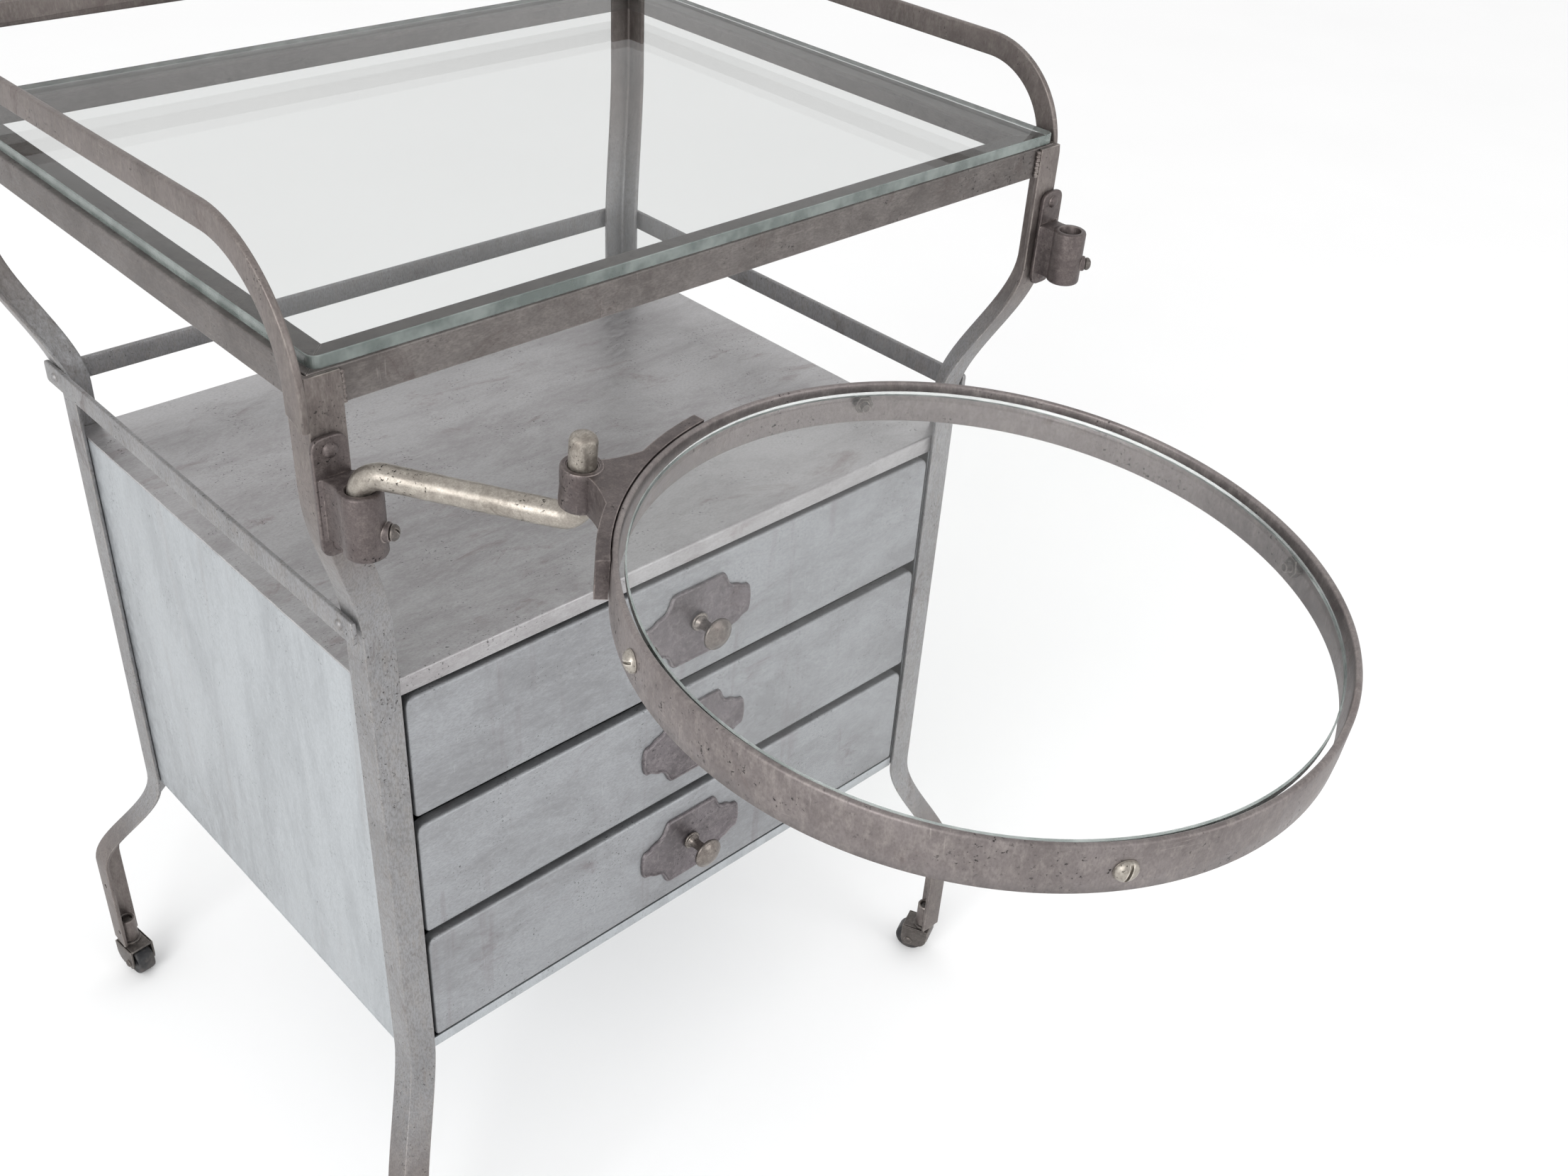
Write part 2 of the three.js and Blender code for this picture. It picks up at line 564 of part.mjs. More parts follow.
// The tee seen from above: an arc that fits the hoop, with a flared neck back to the pin boss.
function teeShape() {
  const inner = HOOP_RADIUS + GAP;
  const outer = inner + SADDLE_THICK;
  const neck = 7;
  const onArc = (radius, angle) => [TRAY_REACH - radius * Math.cos(angle), radius * Math.sin(angle)];
  const shape = new THREE.Shape();
  shape.moveTo(...onArc(inner, SADDLE_SWEEP));
  shape.absarc(TRAY_REACH, 0, inner, Math.PI - SADDLE_SWEEP, Math.PI + SADDLE_SWEEP, false);
  shape.lineTo(...onArc(outer, -SADDLE_SWEEP));
  shape.absarc(TRAY_REACH, 0, outer, Math.PI + SADDLE_SWEEP, Math.PI + 8 * degrees, true);
  shape.quadraticCurveTo(10, -neck - 2, 4, -neck);
  shape.lineTo(4, neck);
  shape.quadraticCurveTo(10, neck + 2, ...onArc(outer, 8 * degrees));
  shape.absarc(TRAY_REACH, 0, outer, Math.PI - 8 * degrees, Math.PI - SADDLE_SWEEP, true);
  return shape;
}

function trayBracket() {
  const height = BOSS_TOP - BOSS_BOTTOM;
  const tee = prism(teeShape(), height, 12).translate(0, 0, BOSS_BOTTOM);
  const boss = post(9.2, 0, 0, BOSS_BOTTOM, BOSS_TOP, 32);
  const bore = post(ROD_RADIUS + 0.35, 0, 0, BOSS_BOTTOM - 1, BOSS_TOP + 1, 32);
  return cut(join(tee, boss), bore);
}
place('tray_bracket', trayBracket(), FRAME_STEEL, tray);

const TRAY_SCREWS = [31.4, 123.4, 220.2, 299.4];
const SCREW_DROP = 12;

function trayScrewPlace(geometry, heading) {
  geometry.rotateY(Math.PI / 2).rotateZ(heading * degrees);
  return geometry.translate(TRAY_REACH, 0, BOSS_TOP - SCREW_DROP);
}

const hoopRing = ring(HOOP_RADIUS - HOOP_THICK, HOOP_RADIUS, BOSS_TOP - HOOP_HEIGHT, BOSS_TOP, 96);
hoopRing.translate(TRAY_REACH, 0, 0);
const screwHoles = TRAY_SCREWS.map((heading) => (
  trayScrewPlace(post(2.5, 0, 0, HOOP_RADIUS - 6, HOOP_RADIUS + 3, 16), heading)));
place('tray_hoop', cut(hoopRing, ...screwHoles), FRAME_STEEL, tray);

// A round-head screw through the hoop; its nut inside is the seat on which the glass rests.
const NUT_RADIUS = 4.5;
const nutInner = HOOP_RADIUS - HOOP_THICK - 7;
for (const [index, heading] of TRAY_SCREWS.entries()) {
  const inside = HOOP_RADIUS - HOOP_THICK - GAP;
  const outside = HOOP_RADIUS + GAP;
  const screw = turned([[0, nutInner], [NUT_RADIUS, nutInner], [NUT_RADIUS, inside], [2.2, inside],
    [2.2, outside], [4.6, outside], [4.2, outside + 1.6], [2.4, outside + 2.8], [0, outside + 3.1]], 16);
  place(`tray_screw_${index + 1}`, trayScrewPlace(screw, heading), NICKEL, tray);
}

const trayGlassRadius = HOOP_RADIUS - HOOP_THICK - 2.6;
const trayGlassSeat = BOSS_TOP - SCREW_DROP + NUT_RADIUS + GAP;
const trayGlass = new THREE.CylinderGeometry(trayGlassRadius, trayGlassRadius, 4.5, 80);
trayGlass.rotateX(Math.PI / 2).translate(TRAY_REACH, 0, trayGlassSeat + 2.25);
place('tray_glass', trayGlass, GLASS, tray);

// ---- casters ----
const FORK_TOP = 28.4;
const STEM_TOP = LEG_BOTTOM + CASTER_SLEEVE.height - 2;
const CHEEK = 1.8;
const cheekInner = WHEEL_WIDTH / 2 + 0.8;
const AXLE_RADIUS = 2;

// Drawn with the stem on the Z axis and the wheel trailing along +X.
function forkGeometry() {
  const cheekOuter = cheekInner + CHEEK;
  const stem = post(4, 0, 0, FORK_TOP - 1, STEM_TOP, 20);
  const washer = post(7.5, 0, 0, FORK_TOP - 1, LEG_BOTTOM - 0.6, 20);
  const crown = block(-7, CASTER_TRAIL + 6, -cheekOuter, cheekOuter, FORK_TOP - 2, FORK_TOP);
  const cheek = polygon([[-7, FORK_TOP], [-5, 20], [CASTER_TRAIL - 4.5, WHEEL_RADIUS - 3],
    [CASTER_TRAIL, WHEEL_RADIUS - 4.5], [CASTER_TRAIL + 4.5, WHEEL_RADIUS - 1.5],
    [CASTER_TRAIL + 6, 21], [CASTER_TRAIL + 6, FORK_TOP]]);
  const right = frontPrism(cheek, -cheekOuter, CHEEK);
  const left = frontPrism(cheek, cheekInner, CHEEK);
  const axle = new THREE.CylinderGeometry(AXLE_RADIUS, AXLE_RADIUS, 2 * cheekOuter + 3, 16);
  axle.translate(CASTER_TRAIL, 0, WHEEL_RADIUS);
  return join(crown, stem, washer, right, left, axle);
}

function wheelGeometry() {
  const half = WHEEL_WIDTH / 2;
  const bore = AXLE_RADIUS + 0.25;
  const profile = [[bore, -half], [5, -half], [6, -half + 1.2], [WHEEL_RADIUS - 2.4, -half + 1.2],
    [WHEEL_RADIUS - 1.4, -half + 0.4], [WHEEL_RADIUS, -half + 1.8], [WHEEL_RADIUS, half - 1.8],
    [WHEEL_RADIUS - 1.4, half - 0.4], [WHEEL_RADIUS - 2.4, half - 1.2], [6, half - 1.2], [5, half],
    [bore, half], [bore, -half]];
  return turned(profile, 36).rotateX(Math.PI / 2).translate(CASTER_TRAIL, 0, WHEEL_RADIUS);
}

for (const corner of CORNERS) {
  const offset = corner.flare + CASTER_SLEEVE.offset;
  const caster = new THREE.Group();
  caster.position.set(corner.x - Math.sign(corner.x) * offset, corner.y - Math.sign(corner.y) * offset, 0);
  caster.rotation.z = corner.caster * degrees;
  table.add(caster);
  place(`caster_fork_${corner.name}`, forkGeometry(), FRAME_STEEL, caster);
  place(`caster_wheel_${corner.name}`, wheelGeometry(), WHEEL_RUBBER, caster);
}

// ---- origin: on the floor, under the middle of the whole object ----
table.updateMatrixWorld(true);
const bounds = new THREE.Box3().setFromObject(table, true);
const middle = bounds.getCenter(new THREE.Vector3());
table.position.set(-middle.x, -middle.y, -bounds.min.z);
table.updateMatrixWorld(true);

export default table;
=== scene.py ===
import json
import math

import bmesh
import bpy
from mathutils import Matrix, Vector

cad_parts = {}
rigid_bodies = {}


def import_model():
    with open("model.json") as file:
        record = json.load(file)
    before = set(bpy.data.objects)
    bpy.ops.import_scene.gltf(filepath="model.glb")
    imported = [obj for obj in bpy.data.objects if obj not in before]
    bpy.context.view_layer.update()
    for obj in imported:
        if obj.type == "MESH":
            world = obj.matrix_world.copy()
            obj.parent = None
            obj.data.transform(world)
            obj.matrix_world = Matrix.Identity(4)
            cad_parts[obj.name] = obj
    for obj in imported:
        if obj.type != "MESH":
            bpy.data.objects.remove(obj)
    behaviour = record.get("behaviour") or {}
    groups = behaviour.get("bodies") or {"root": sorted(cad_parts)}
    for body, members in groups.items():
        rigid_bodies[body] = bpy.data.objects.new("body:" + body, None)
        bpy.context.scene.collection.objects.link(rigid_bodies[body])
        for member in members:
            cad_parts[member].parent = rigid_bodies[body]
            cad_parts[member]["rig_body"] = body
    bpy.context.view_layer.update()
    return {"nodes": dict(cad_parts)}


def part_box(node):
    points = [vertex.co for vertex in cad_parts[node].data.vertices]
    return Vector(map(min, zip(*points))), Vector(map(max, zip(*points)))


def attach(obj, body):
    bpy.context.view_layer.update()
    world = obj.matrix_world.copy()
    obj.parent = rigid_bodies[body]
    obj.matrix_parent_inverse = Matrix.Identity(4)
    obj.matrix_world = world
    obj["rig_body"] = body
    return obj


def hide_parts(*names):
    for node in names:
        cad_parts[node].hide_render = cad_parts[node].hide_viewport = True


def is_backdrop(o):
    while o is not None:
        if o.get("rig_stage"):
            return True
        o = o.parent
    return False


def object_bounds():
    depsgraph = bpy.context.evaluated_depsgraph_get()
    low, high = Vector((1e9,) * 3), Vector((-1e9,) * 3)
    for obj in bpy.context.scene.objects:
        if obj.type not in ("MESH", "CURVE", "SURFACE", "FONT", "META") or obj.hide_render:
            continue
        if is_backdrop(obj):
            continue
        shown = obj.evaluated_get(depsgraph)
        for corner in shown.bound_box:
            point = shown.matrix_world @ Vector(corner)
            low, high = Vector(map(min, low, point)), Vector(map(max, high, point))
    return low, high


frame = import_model()
scene = bpy.context.scene

MM = 0.001


# ---- sizes shared with the CAD, in millimetres, from the middle of the leg frame ----
HALF_WIDTH = 267.0
HALF_DEPTH = 216.5
FRAME_TOP = 733.0
ANGLE = 19.0
ANGLE_THICK = 3.0
LEG_INSET = 31.5             # how far the legs step in beside the cabinet
LEG_BOTTOM = 31.0
UPPER_BEND_END = 551.0
LOWER_BEND_LENGTH = 98.0
BACK_POST = 54.0             # back legs run on above the frame by this much
GAP = 0.3                    # clearance kept between pieces that touch
SLEEVE_SET = 9.2             # caster sleeve's axis in from the leg's outer faces
BAR_WIDTH = 15.0             # flat bar of the gallery and the guard rails
BAR_THICK = 4.0
GALLERY_HEIGHT = 46.5        # middle of the gallery bar above the frame
GALLERY_FOOT = 22.5          # how far the bar runs down the front leg
GUARD_LEFT_Z = 565.5
GUARD_Z = 559.0
GUARD_THICK = 3.0
CABINET_TOP = 521.0
SHEET = 1.2
APRON = 12.0
DRAWER_HEIGHT = 87.0
PULL_WIDTH = 90.0
PULL_HEIGHT = 57.0
GLASS_MARGIN = dict(left=6.8, right=3.6, front=4.0, back=9.2)
GLASS_THICK = 6.5
BARREL_OUT = 22.0            # socket axis in front of the leg
SOCKET = (650.0, 684.5)      # heights of the barrel's ends
SOCKET_PLATE = (641.0, 704.0)
SCREW_HEIGHT = 663.0
SCREW_HEADING = -50.0
ROD_RADIUS = 6.35
ARM_REACH = 103.5
ARM_BOTTOM = 653.0
ARM_LEVEL = 693.5            # rod's middle where it leaves the socket
ARM_END_LEVEL = 689.0
ARM_HEADING = -56.1
LEAN_HEADING = -80.5         # the tray's pin leans this way,
DROOP = 4.2                  # by this many degrees
TRAY_HEADING = -59.4
REACH = 178.0                # pin to the middle of the hoop
HOOP = 153.9                 # hoop's outer radius
HOOP_THICK = 3.0
HOOP_TOP = 28.0
HOOP_HEIGHT = 23.8
SCREW_DROP = 12.0            # tray screws below the hoop's top
SCREW_HEADINGS = (31.4, 123.4, 220.2, 299.4)
NUT_RADIUS = 4.5
TRAY_GLASS_THICK = 4.5
WHEEL_RADIUS = 12.7
TRAIL = 9.0                  # wheel axle behind the swivel axis

rail_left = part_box("top_rail_left")
rail_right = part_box("top_rail_right")
MIDDLE = Vector(((rail_left[0].x + rail_right[1].x) / 2, (rail_left[0].y + rail_left[1].y) / 2, 0))


# ---- camera ----
camera = bpy.data.objects.new("camera", bpy.data.cameras.new("camera"))
scene.collection.objects.link(camera)
camera.data.sensor_width = 36
camera.data.lens = 36.78
camera.data.clip_start = 0.02
camera.data.clip_end = 30
right = Vector((0.723458, -0.687836, 0.059079))
up = Vector((0.357062, 0.446045, 0.820701))
back = right.cross(up)
turn = Matrix((right, up, back)).transposed().to_4x4()
camera.matrix_world = Matrix.Translation((-0.558106, -0.602636, 1.068947)) @ turn
scene.camera = camera
scene.view_settings.view_transform = "Standard"


# ---- materials ----
class Nodes:
    """A material's node tree with short calls for the nodes used here."""

    def __init__(self, name):
        self.material = bpy.data.materials.new(name)
        self.material.use_nodes = True
        self.tree = self.material.node_tree
        self.shader = self.tree.nodes["Principled BSDF"]
        self.place = self.tree.nodes.new("ShaderNodeTexCoord").outputs["Object"]

    def link(self, source, target):
        if isinstance(source, bpy.types.NodeSocket):
            self.tree.links.new(source, target)
        else:
            target.default_value = source

    def stretched(self, x, y, z):
        mapping = self.tree.nodes.new("ShaderNodeMapping")
        self.link(self.place, mapping.inputs["Vector"])
        mapping.inputs["Scale"].default_value = (x, y, z)
        return mapping.outputs["Vector"]

    def noise(self, scale, detail=4, rough=0.55, place=None, distortion=0.0):
        noise = self.tree.nodes.new("ShaderNodeTexNoise")
        self.link(place or self.place, noise.inputs["Vector"])
        noise.inputs["Scale"].default_value = scale
        noise.inputs["Detail"].default_value = detail
        noise.inputs["Roughness"].default_value = rough
        noise.inputs["Distortion"].default_value = distortion
        return noise.outputs["Fac"]

    def ramp(self, value, low, high, to_low=0.0, to_high=1.0):
        node = self.tree.nodes.new("ShaderNodeMapRange")
        node.interpolation_type = "SMOOTHSTEP"
        self.link(value, node.inputs["Value"])
        node.inputs["From Min"].default_value = low
        node.inputs["From Max"].default_value = high
        node.inputs["To Min"].default_value = to_low
        node.inputs["To Max"].default_value = to_high
        return node.outputs["Result"]

    def math(self, operation, a, b):
        node = self.tree.nodes.new("ShaderNodeMath")
        node.operation = operation
        self.link(a, node.inputs[0])
        self.link(b, node.inputs[1])
        return node.outputs[0]

    def mix(self, factor, a, b):
        node = self.tree.nodes.new("ShaderNodeMix")
        node.data_type = "RGBA"
        self.link(factor, node.inputs["Factor"])
        for value, socket in ((a, node.inputs[6]), (b, node.inputs[7])):
            self.link(value if isinstance(value, bpy.types.NodeSocket) else (*value, 1), socket)
        return node.outputs[2]

    def edges(self, radius):
        """1 where the surface turns a corner within the radius, 0 on flats."""
        bevel = self.tree.nodes.new("ShaderNodeBevel")
        bevel.samples = 4
        bevel.inputs["Radius"].default_value = radius
        normal = self.tree.nodes.new("ShaderNodeNewGeometry").outputs["Normal"]
        dot = self.tree.nodes.new("ShaderNodeVectorMath")
        dot.operation = "DOT_PRODUCT"
        self.link(bevel.outputs["Normal"], dot.inputs[0])
        self.link(normal, dot.inputs[1])
        return self.ramp(dot.outputs["Value"], 0.985, 0.90)

    def bump(self, height, strength, distance, before=None):
        node = self.tree.nodes.new("ShaderNodeBump")
        node.inputs["Strength"].default_value = strength
        node.inputs["Distance"].default_value = distance
        self.link(height, node.inputs["Height"])
        if before is not None:
            self.link(before, node.inputs["Normal"])
        return node.outputs["Normal"]


def rgb(text):
    """A linear colour from an sRGB hex string."""
    parts = [int(text[i:i + 2], 16) / 255 for i in (0, 2, 4)]
    return tuple(c / 12.92 if c <= 0.04045 else ((c + 0.055) / 1.055) ** 2.4 for c in parts)


def steel(name, base, dark, stain, bright, metal=0.75, rough=(0.38, 0.6), streak=(1, 1, 1),
          stain_at=(0.54, 0.7), worn=0.85, pits=1.0, edge=0.001, cool=None, drips=0.0, brushed=(1, 1, 1)):
    """Old bare steel: mottled, stained, scratched, pitted, and rubbed bright along its edges.

    cool is the paler colour of the legs between the upper bend and the feet. brushed stretches the
    fine grain left by rolling and wiping.
    """
    n = Nodes(name)
    streaked = n.stretched(*streak)
    clouds = n.noise(15, 10, 0.78, streaked, 0.4)
    fine = n.noise(240, 6, 0.75, n.stretched(*brushed))
    grain = n.noise(1100, 3, 0.6, n.stretched(*brushed))
    stains = n.ramp(n.noise(27, 9, 0.76, streaked, 0.8), *stain_at)
    colour = n.mix(n.ramp(clouds, 0.36, 0.6, 0.35, 1.0), dark, base)
    if cool is not None:
        height = n.tree.nodes.new("ShaderNodeSeparateXYZ")
        n.link(n.place, height.inputs[0])
        below_bend = n.ramp(height.outputs[2], 0.66, 0.57)
        above_foot = n.ramp(height.outputs[2], 0.13, 0.2)
        beside = n.math("MULTIPLY", below_bend, above_foot)
        paler = n.mix(n.ramp(clouds, 0.34, 0.6), tuple(c * 0.78 for c in cool), cool)
        colour = n.mix(n.math("MULTIPLY", beside, 0.85), colour, paler)
    colour = n.mix(n.math("MULTIPLY", n.ramp(fine, 0.42, 0.7), 0.4), colour, bright)
    colour = n.mix(n.math("MULTIPLY", stains, 0.6), colour, stain)
    if drips:
        run = n.ramp(n.noise(34, 6, 0.62, n.stretched(1.5, 1.5, 0.14), 0.3), 0.56, 0.72)
        colour = n.mix(n.math("MULTIPLY", run, drips), colour, stain)
    colour = n.mix(n.ramp(grain, 0.4, 0.66, 0.0, 0.34), colour, dark)
    upright = n.ramp(n.noise(700, 3, 0.55, n.stretched(1, 1, 0.07)), 0.66, 0.72)
    level = n.ramp(n.noise(620, 3, 0.55, n.stretched(0.06, 0.09, 1)), 0.66, 0.72)
    scratch_field = n.ramp(n.noise(26, 4), 0.46, 0.6, 0.0, 0.32)
    scratched = n.math("MULTIPLY", n.math("MAXIMUM", upright, level), scratch_field)
    colour = n.mix(scratched, colour, bright)
    pit = n.ramp(n.noise(560, 3, 0.6), 0.61, 0.67)
    pit = n.math("MULTIPLY", pit, n.math("MULTIPLY", n.ramp(n.noise(31, 5, 0.65), 0.48, 0.62), pits))
    colour = n.mix(n.math("MULTIPLY", pit, 0.8), colour, tuple(c * 0.22 for c in dark))
    rubbed = n.math("MULTIPLY", n.edges(edge), n.ramp(n.noise(60, 6, 0.72), 0.38, 0.58, 0.1, worn))
    colour = n.mix(rubbed, colour, tuple(min(1, c * 1.45) for c in bright))
    n.link(colour, n.shader.inputs["Base Color"])
    roughness = n.ramp(fine, 0.3, 0.75, *rough)
    roughness = n.math("SUBTRACT", roughness, n.math("MULTIPLY", rubbed, 0.12))
    n.link(n.math("ADD", roughness, n.math("MULTIPLY", stains, 0.08)), n.shader.inputs["Roughness"])
    n.shader.inputs["Metallic"].default_value = metal
    waves = n.bump(n.noise(14, 2, 0.5), 0.3, 0.0012)
    hollows = n.math("ADD", pit, n.math("MULTIPLY", scratched, 0.3))
    relief = n.math("SUBTRACT", n.math("MULTIPLY", fine, 0.6), hollows)
    normal = n.bump(relief, 0.5, 0.0003, waves)
    n.link(n.bump(grain, 0.3, 0.0001, normal), n.shader.inputs["Normal"])
    return n.material


FRAME_STEEL = steel("frame_steel", rgb("79716e"), rgb("57504e"), rgb("5f5250"), rgb("9f9993"),
                    streak=(1, 1, 0.7), cool=rgb("9b9c9e"), brushed=(1, 1, 0.35))
RAIL_STEEL = steel("rail_steel", rgb("706b69"), rgb("504b49"), rgb("584e4c"), rgb("928c88"),
                   brushed=(0.4, 0.4, 1))
WELD_STEEL = steel("weld_steel", rgb("aaa49a"), rgb("6c655f"), rgb("6a5c56"), rgb("cfcac0"), pits=1.4)
FITTING_STEEL = steel("fitting_steel", rgb("807978"), rgb("5f5857"), rgb("665856"), rgb("a8a19c"),
                      brushed=(1, 1, 0.5), pits=1.3, edge=0.0014, worn=1.0)
BRACKET_STEEL = steel("bracket_steel", rgb("625a59"), rgb("423b3b"), rgb("4d4142"), rgb("8d8480"), pits=1.3)
SIDE_STEEL = steel("side_steel", rgb("b5b9bc"), rgb("9a9da0"), rgb("98918f"), rgb("c4c8cb"), worn=0.4,
                   streak=(1.8, 1.8, 0.4), stain_at=(0.62, 0.82), pits=0.6, drips=0.2, brushed=(1, 1, 0.4))
DRAWER_STEEL = steel("drawer_steel", rgb("9c9ea1"), rgb("7d7d7f"), rgb("776c6f"), rgb("b1b3b5"),
                     streak=(0.6, 1, 1.2), stain_at=(0.57, 0.76), drips=0.4, brushed=(0.4, 1, 1))
LID_STEEL = steel("lid_steel", rgb("aeadae"), rgb("8b8788"), rgb("867977"), rgb("bfbebf"),
                  rough=(0.3, 0.5), streak=(0.5, 1.3, 1), brushed=(0.4, 1, 1))
INNER_STEEL = steel("inner_steel", rgb("85888b"), rgb("6b6d70"), rgb("6d6769"), rgb("9fa3a6"), pits=0.5)
PULL_STEEL = steel("pull_steel", rgb("746e71"), rgb("504b4d"), rgb("5a4d4f"), rgb("aaa4a4"), edge=0.0009)
KNOB_STEEL = steel("knob_steel", rgb("7c7570"), rgb("504a47"), rgb("625552"), rgb("b5aea6"),
                   metal=0.9, rough=(0.25, 0.45))
NICKEL = steel("nickel", rgb("a39d95"), rgb("716a62"), rgb("5f564f"), rgb("cbc6bb"), metal=0.9,
               rough=(0.3, 0.55), stain_at=(0.52, 0.66), pits=2.2)
CASTER_STEEL = steel("caster_steel", rgb("625d5a"), rgb("403c3a"), rgb("4f4542"), rgb("938c86"), pits=1.4)


def plate_glass(name, tint, index):
    n = Nodes(name)
    n.shader.inputs["Base Color"].default_value = (*tint, 1)
    n.shader.inputs["Roughness"].default_value = 0.01
    n.shader.inputs["IOR"].default_value = index
    n.shader.inputs["Transmission Weight"].default_value = 1
    return n.material


def glass_edge():
    n = Nodes("glass_edge")
    tint = n.mix(n.ramp(n.noise(60, 3), 0.35, 0.7), rgb("7d8884"), rgb("aab4b0"))
    n.link(tint, n.shader.inputs["Base Color"])
    n.shader.inputs["Roughness"].default_value = 0.2
    n.shader.inputs["IOR"].default_value = 1.5
    n.shader.inputs["Transmission Weight"].default_value = 0.55
    n.link(n.bump(n.noise(300, 2), 0.2, 0.0002), n.shader.inputs["Normal"])
    return n.material


def hard_rubber():
    n = Nodes("wheel_rubber")
    dust = n.ramp(n.noise(90, 5, 0.7), 0.45, 0.75)
    n.link(n.mix(dust, (0.012, 0.012, 0.014), (0.09, 0.08, 0.075)), n.shader.inputs["Base Color"])
    n.link(n.ramp(dust, 0, 1, 0.45, 0.8), n.shader.inputs["Roughness"])
    n.link(n.bump(n.noise(500, 3), 0.3, 0.0003), n.shader.inputs["Normal"])
    return n.material


TOP_GLASS = plate_glass("top_glass", (0.76, 0.77, 0.765), 1.14)
TRAY_GLASS = plate_glass("tray_glass", (0.985, 0.99, 0.987), 1.28)
GLASS_EDGE = glass_edge()
WHEEL_RUBBER = hard_rubber()


# ---- pieces ----
TO_ROW = Matrix.Translation(MIDDLE) @ Matrix.Scale(MM, 4)


def turned(axis, degrees):
    return Matrix.Rotation(math.radians(degrees), 4, axis)


def moved(x, y, z):
    return Matrix.Translation((x, y, z))


def piece(name, bm, body, nodes, material, smooth=35):
    """Makes an object of a bmesh in row metres, rides it on its body, and lets it stand for CAD nodes."""
    bmesh.ops.recalc_face_normals(bm, faces=bm.faces)
    mesh = bpy.data.meshes.new(name)
    bm.to_mesh(mesh)
    bm.free()
    mesh.shade_smooth()
    mesh.set_sharp_from_angle(angle=math.radians(smooth))
    for entry in material if isinstance(material, (list, tuple)) else (material,):
        mesh.materials.append(entry)
    shape = bpy.data.objects.new(name, mesh)
    scene.collection.objects.link(shape)
    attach(shape, body)
    if nodes:
        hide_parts(*nodes)
    return shape


def carved(shape, *cutters):
    """Cuts the cutters out of a piece, and removes them."""
    for cutter in cutters:
        boolean = shape.modifiers.new("cut", "BOOLEAN")
        boolean.operation = "DIFFERENCE"
        boolean.solver = "EXACT"
        boolean.object = cutter
    bpy.context.view_layer.update()
    evaluated = shape.evaluated_get(bpy.context.evaluated_depsgraph_get())
    shape.data = bpy.data.meshes.new_from_object(evaluated)
    shape.modifiers.clear()
    shape.data.set_sharp_from_angle(angle=math.radians(35))
    for cutter in cutters:
        bpy.data.objects.remove(cutter)
    return shape


def cutter(bm):
    bmesh.ops.recalc_face_normals(bm, faces=bm.faces)
    mesh = bpy.data.meshes.new("cutter")
    bm.to_mesh(mesh)
    bm.free()
    shape = bpy.data.objects.new("cutter", mesh)
    scene.collection.objects.link(shape)
    return shape


def bridged(bm, loops, matrix):
    """Joins loops of equally many points with quads, and closes the first and the last."""
    rows = [[bm.verts.new(matrix @ Vector(p)) for p in loop] for loop in loops]
    for a, b in zip(rows, rows[1:]):
        for i in range(len(a)):
            j = (i + 1) % len(a)
            bm.faces.new((a[i], a[j], b[j], b[i]))
    bm.faces.new(rows[0])
    bm.faces.new(rows[-1])


def lathed(bm, profile, matrix, segments=48, ring=False):
    """A solid of revolution about Z from (radius, height) pairs, in millimetres."""
    rows = []
    for radius, height in profile:
        if radius < 1e-6:
            rows.append([bm.verts.new(matrix @ Vector((0, 0, height)))])
            continue
        angles = [2 * math.pi * i / segments for i in range(segments)]
        rows.append([bm.verts.new(matrix @ Vector((radius * math.cos(a), radius * math.sin(a), height)))
                     for a in angles])
    pairs = list(zip(rows, rows[1:])) + ([(rows[-1], rows[0])] if ring else [])
    for a, b in pairs:
        for i in range(segments):
            j = (i + 1) % segments
            corners = [a[i % len(a)], a[j % len(a)], b[j % len(b)], b[i % len(b)]]
            unique = [v for k, v in enumerate(corners) if v not in corners[:k]]
            bm.faces.new(unique)


def weld_bead(bm, start, end, radius, ripples, matrix):
    """A rippled bead of weld between two points."""
    start, end = Vector(start), Vector(end)
    along = (end - start).normalized()
    side = along.orthogonal().normalized()
    other = along.cross(side)
    count = ripples * 6
    loops = []
    for k in range(count + 1):
        size = radius * (0.74 + 0.26 * abs(math.sin(math.pi * k / 6))) * (1 + 0.1 * math.sin(k * 1.7))
        size *= 0.4 if k in (0, count) else 1
        wander = side * 0.2 * math.sin(k * 0.9) + other * 0.2 * math.cos(k * 0.7)
        centre = start.lerp(end, k / count) + wander
        loops.append([centre + (side * math.cos(a) + other * math.sin(a)) * size
                      for a in (2 * math.pi * i / 16 for i in range(16))])
    bridged(bm, loops, matrix)


def filleted(points, radius, steps=4):
    """A polygon with its corners rounded. radius is one number, or one for each corner."""
    out = []
    for i, point in enumerate(points):
        r = radius[i] if isinstance(radius, (list, tuple)) else radius
        p = Vector(point)
        if r <= 0:
            out.append(p)
            continue
        before = p + (Vector(points[i - 1]) - p).normalized() * r
        after = p + (Vector(points[(i + 1) % len(points)]) - p).normalized() * r
        for k in range(steps + 1):
            f = k / steps
            out.append(before * (1 - f) ** 2 + p * 2 * f * (1 - f) + after * f * f)
    return out


def inset(points, distance):
    """The polygon moved inward by a distance."""
    area = sum(a.x * b.y - b.x * a.y for a, b in zip(points, points[1:] + points[:1]))
    sign = 1 if area > 0 else -1
    out = []
    for i, p in enumerate(points):
        along = [(p - points[i - 1]).normalized(), (points[(i + 1) % len(points)] - p).normalized()]
        a, b = (Vector((-d.y, d.x)) * sign for d in along)
        out.append(p + (a + b) * (distance / max(0.35, 1 + a.dot(b))))
    return out


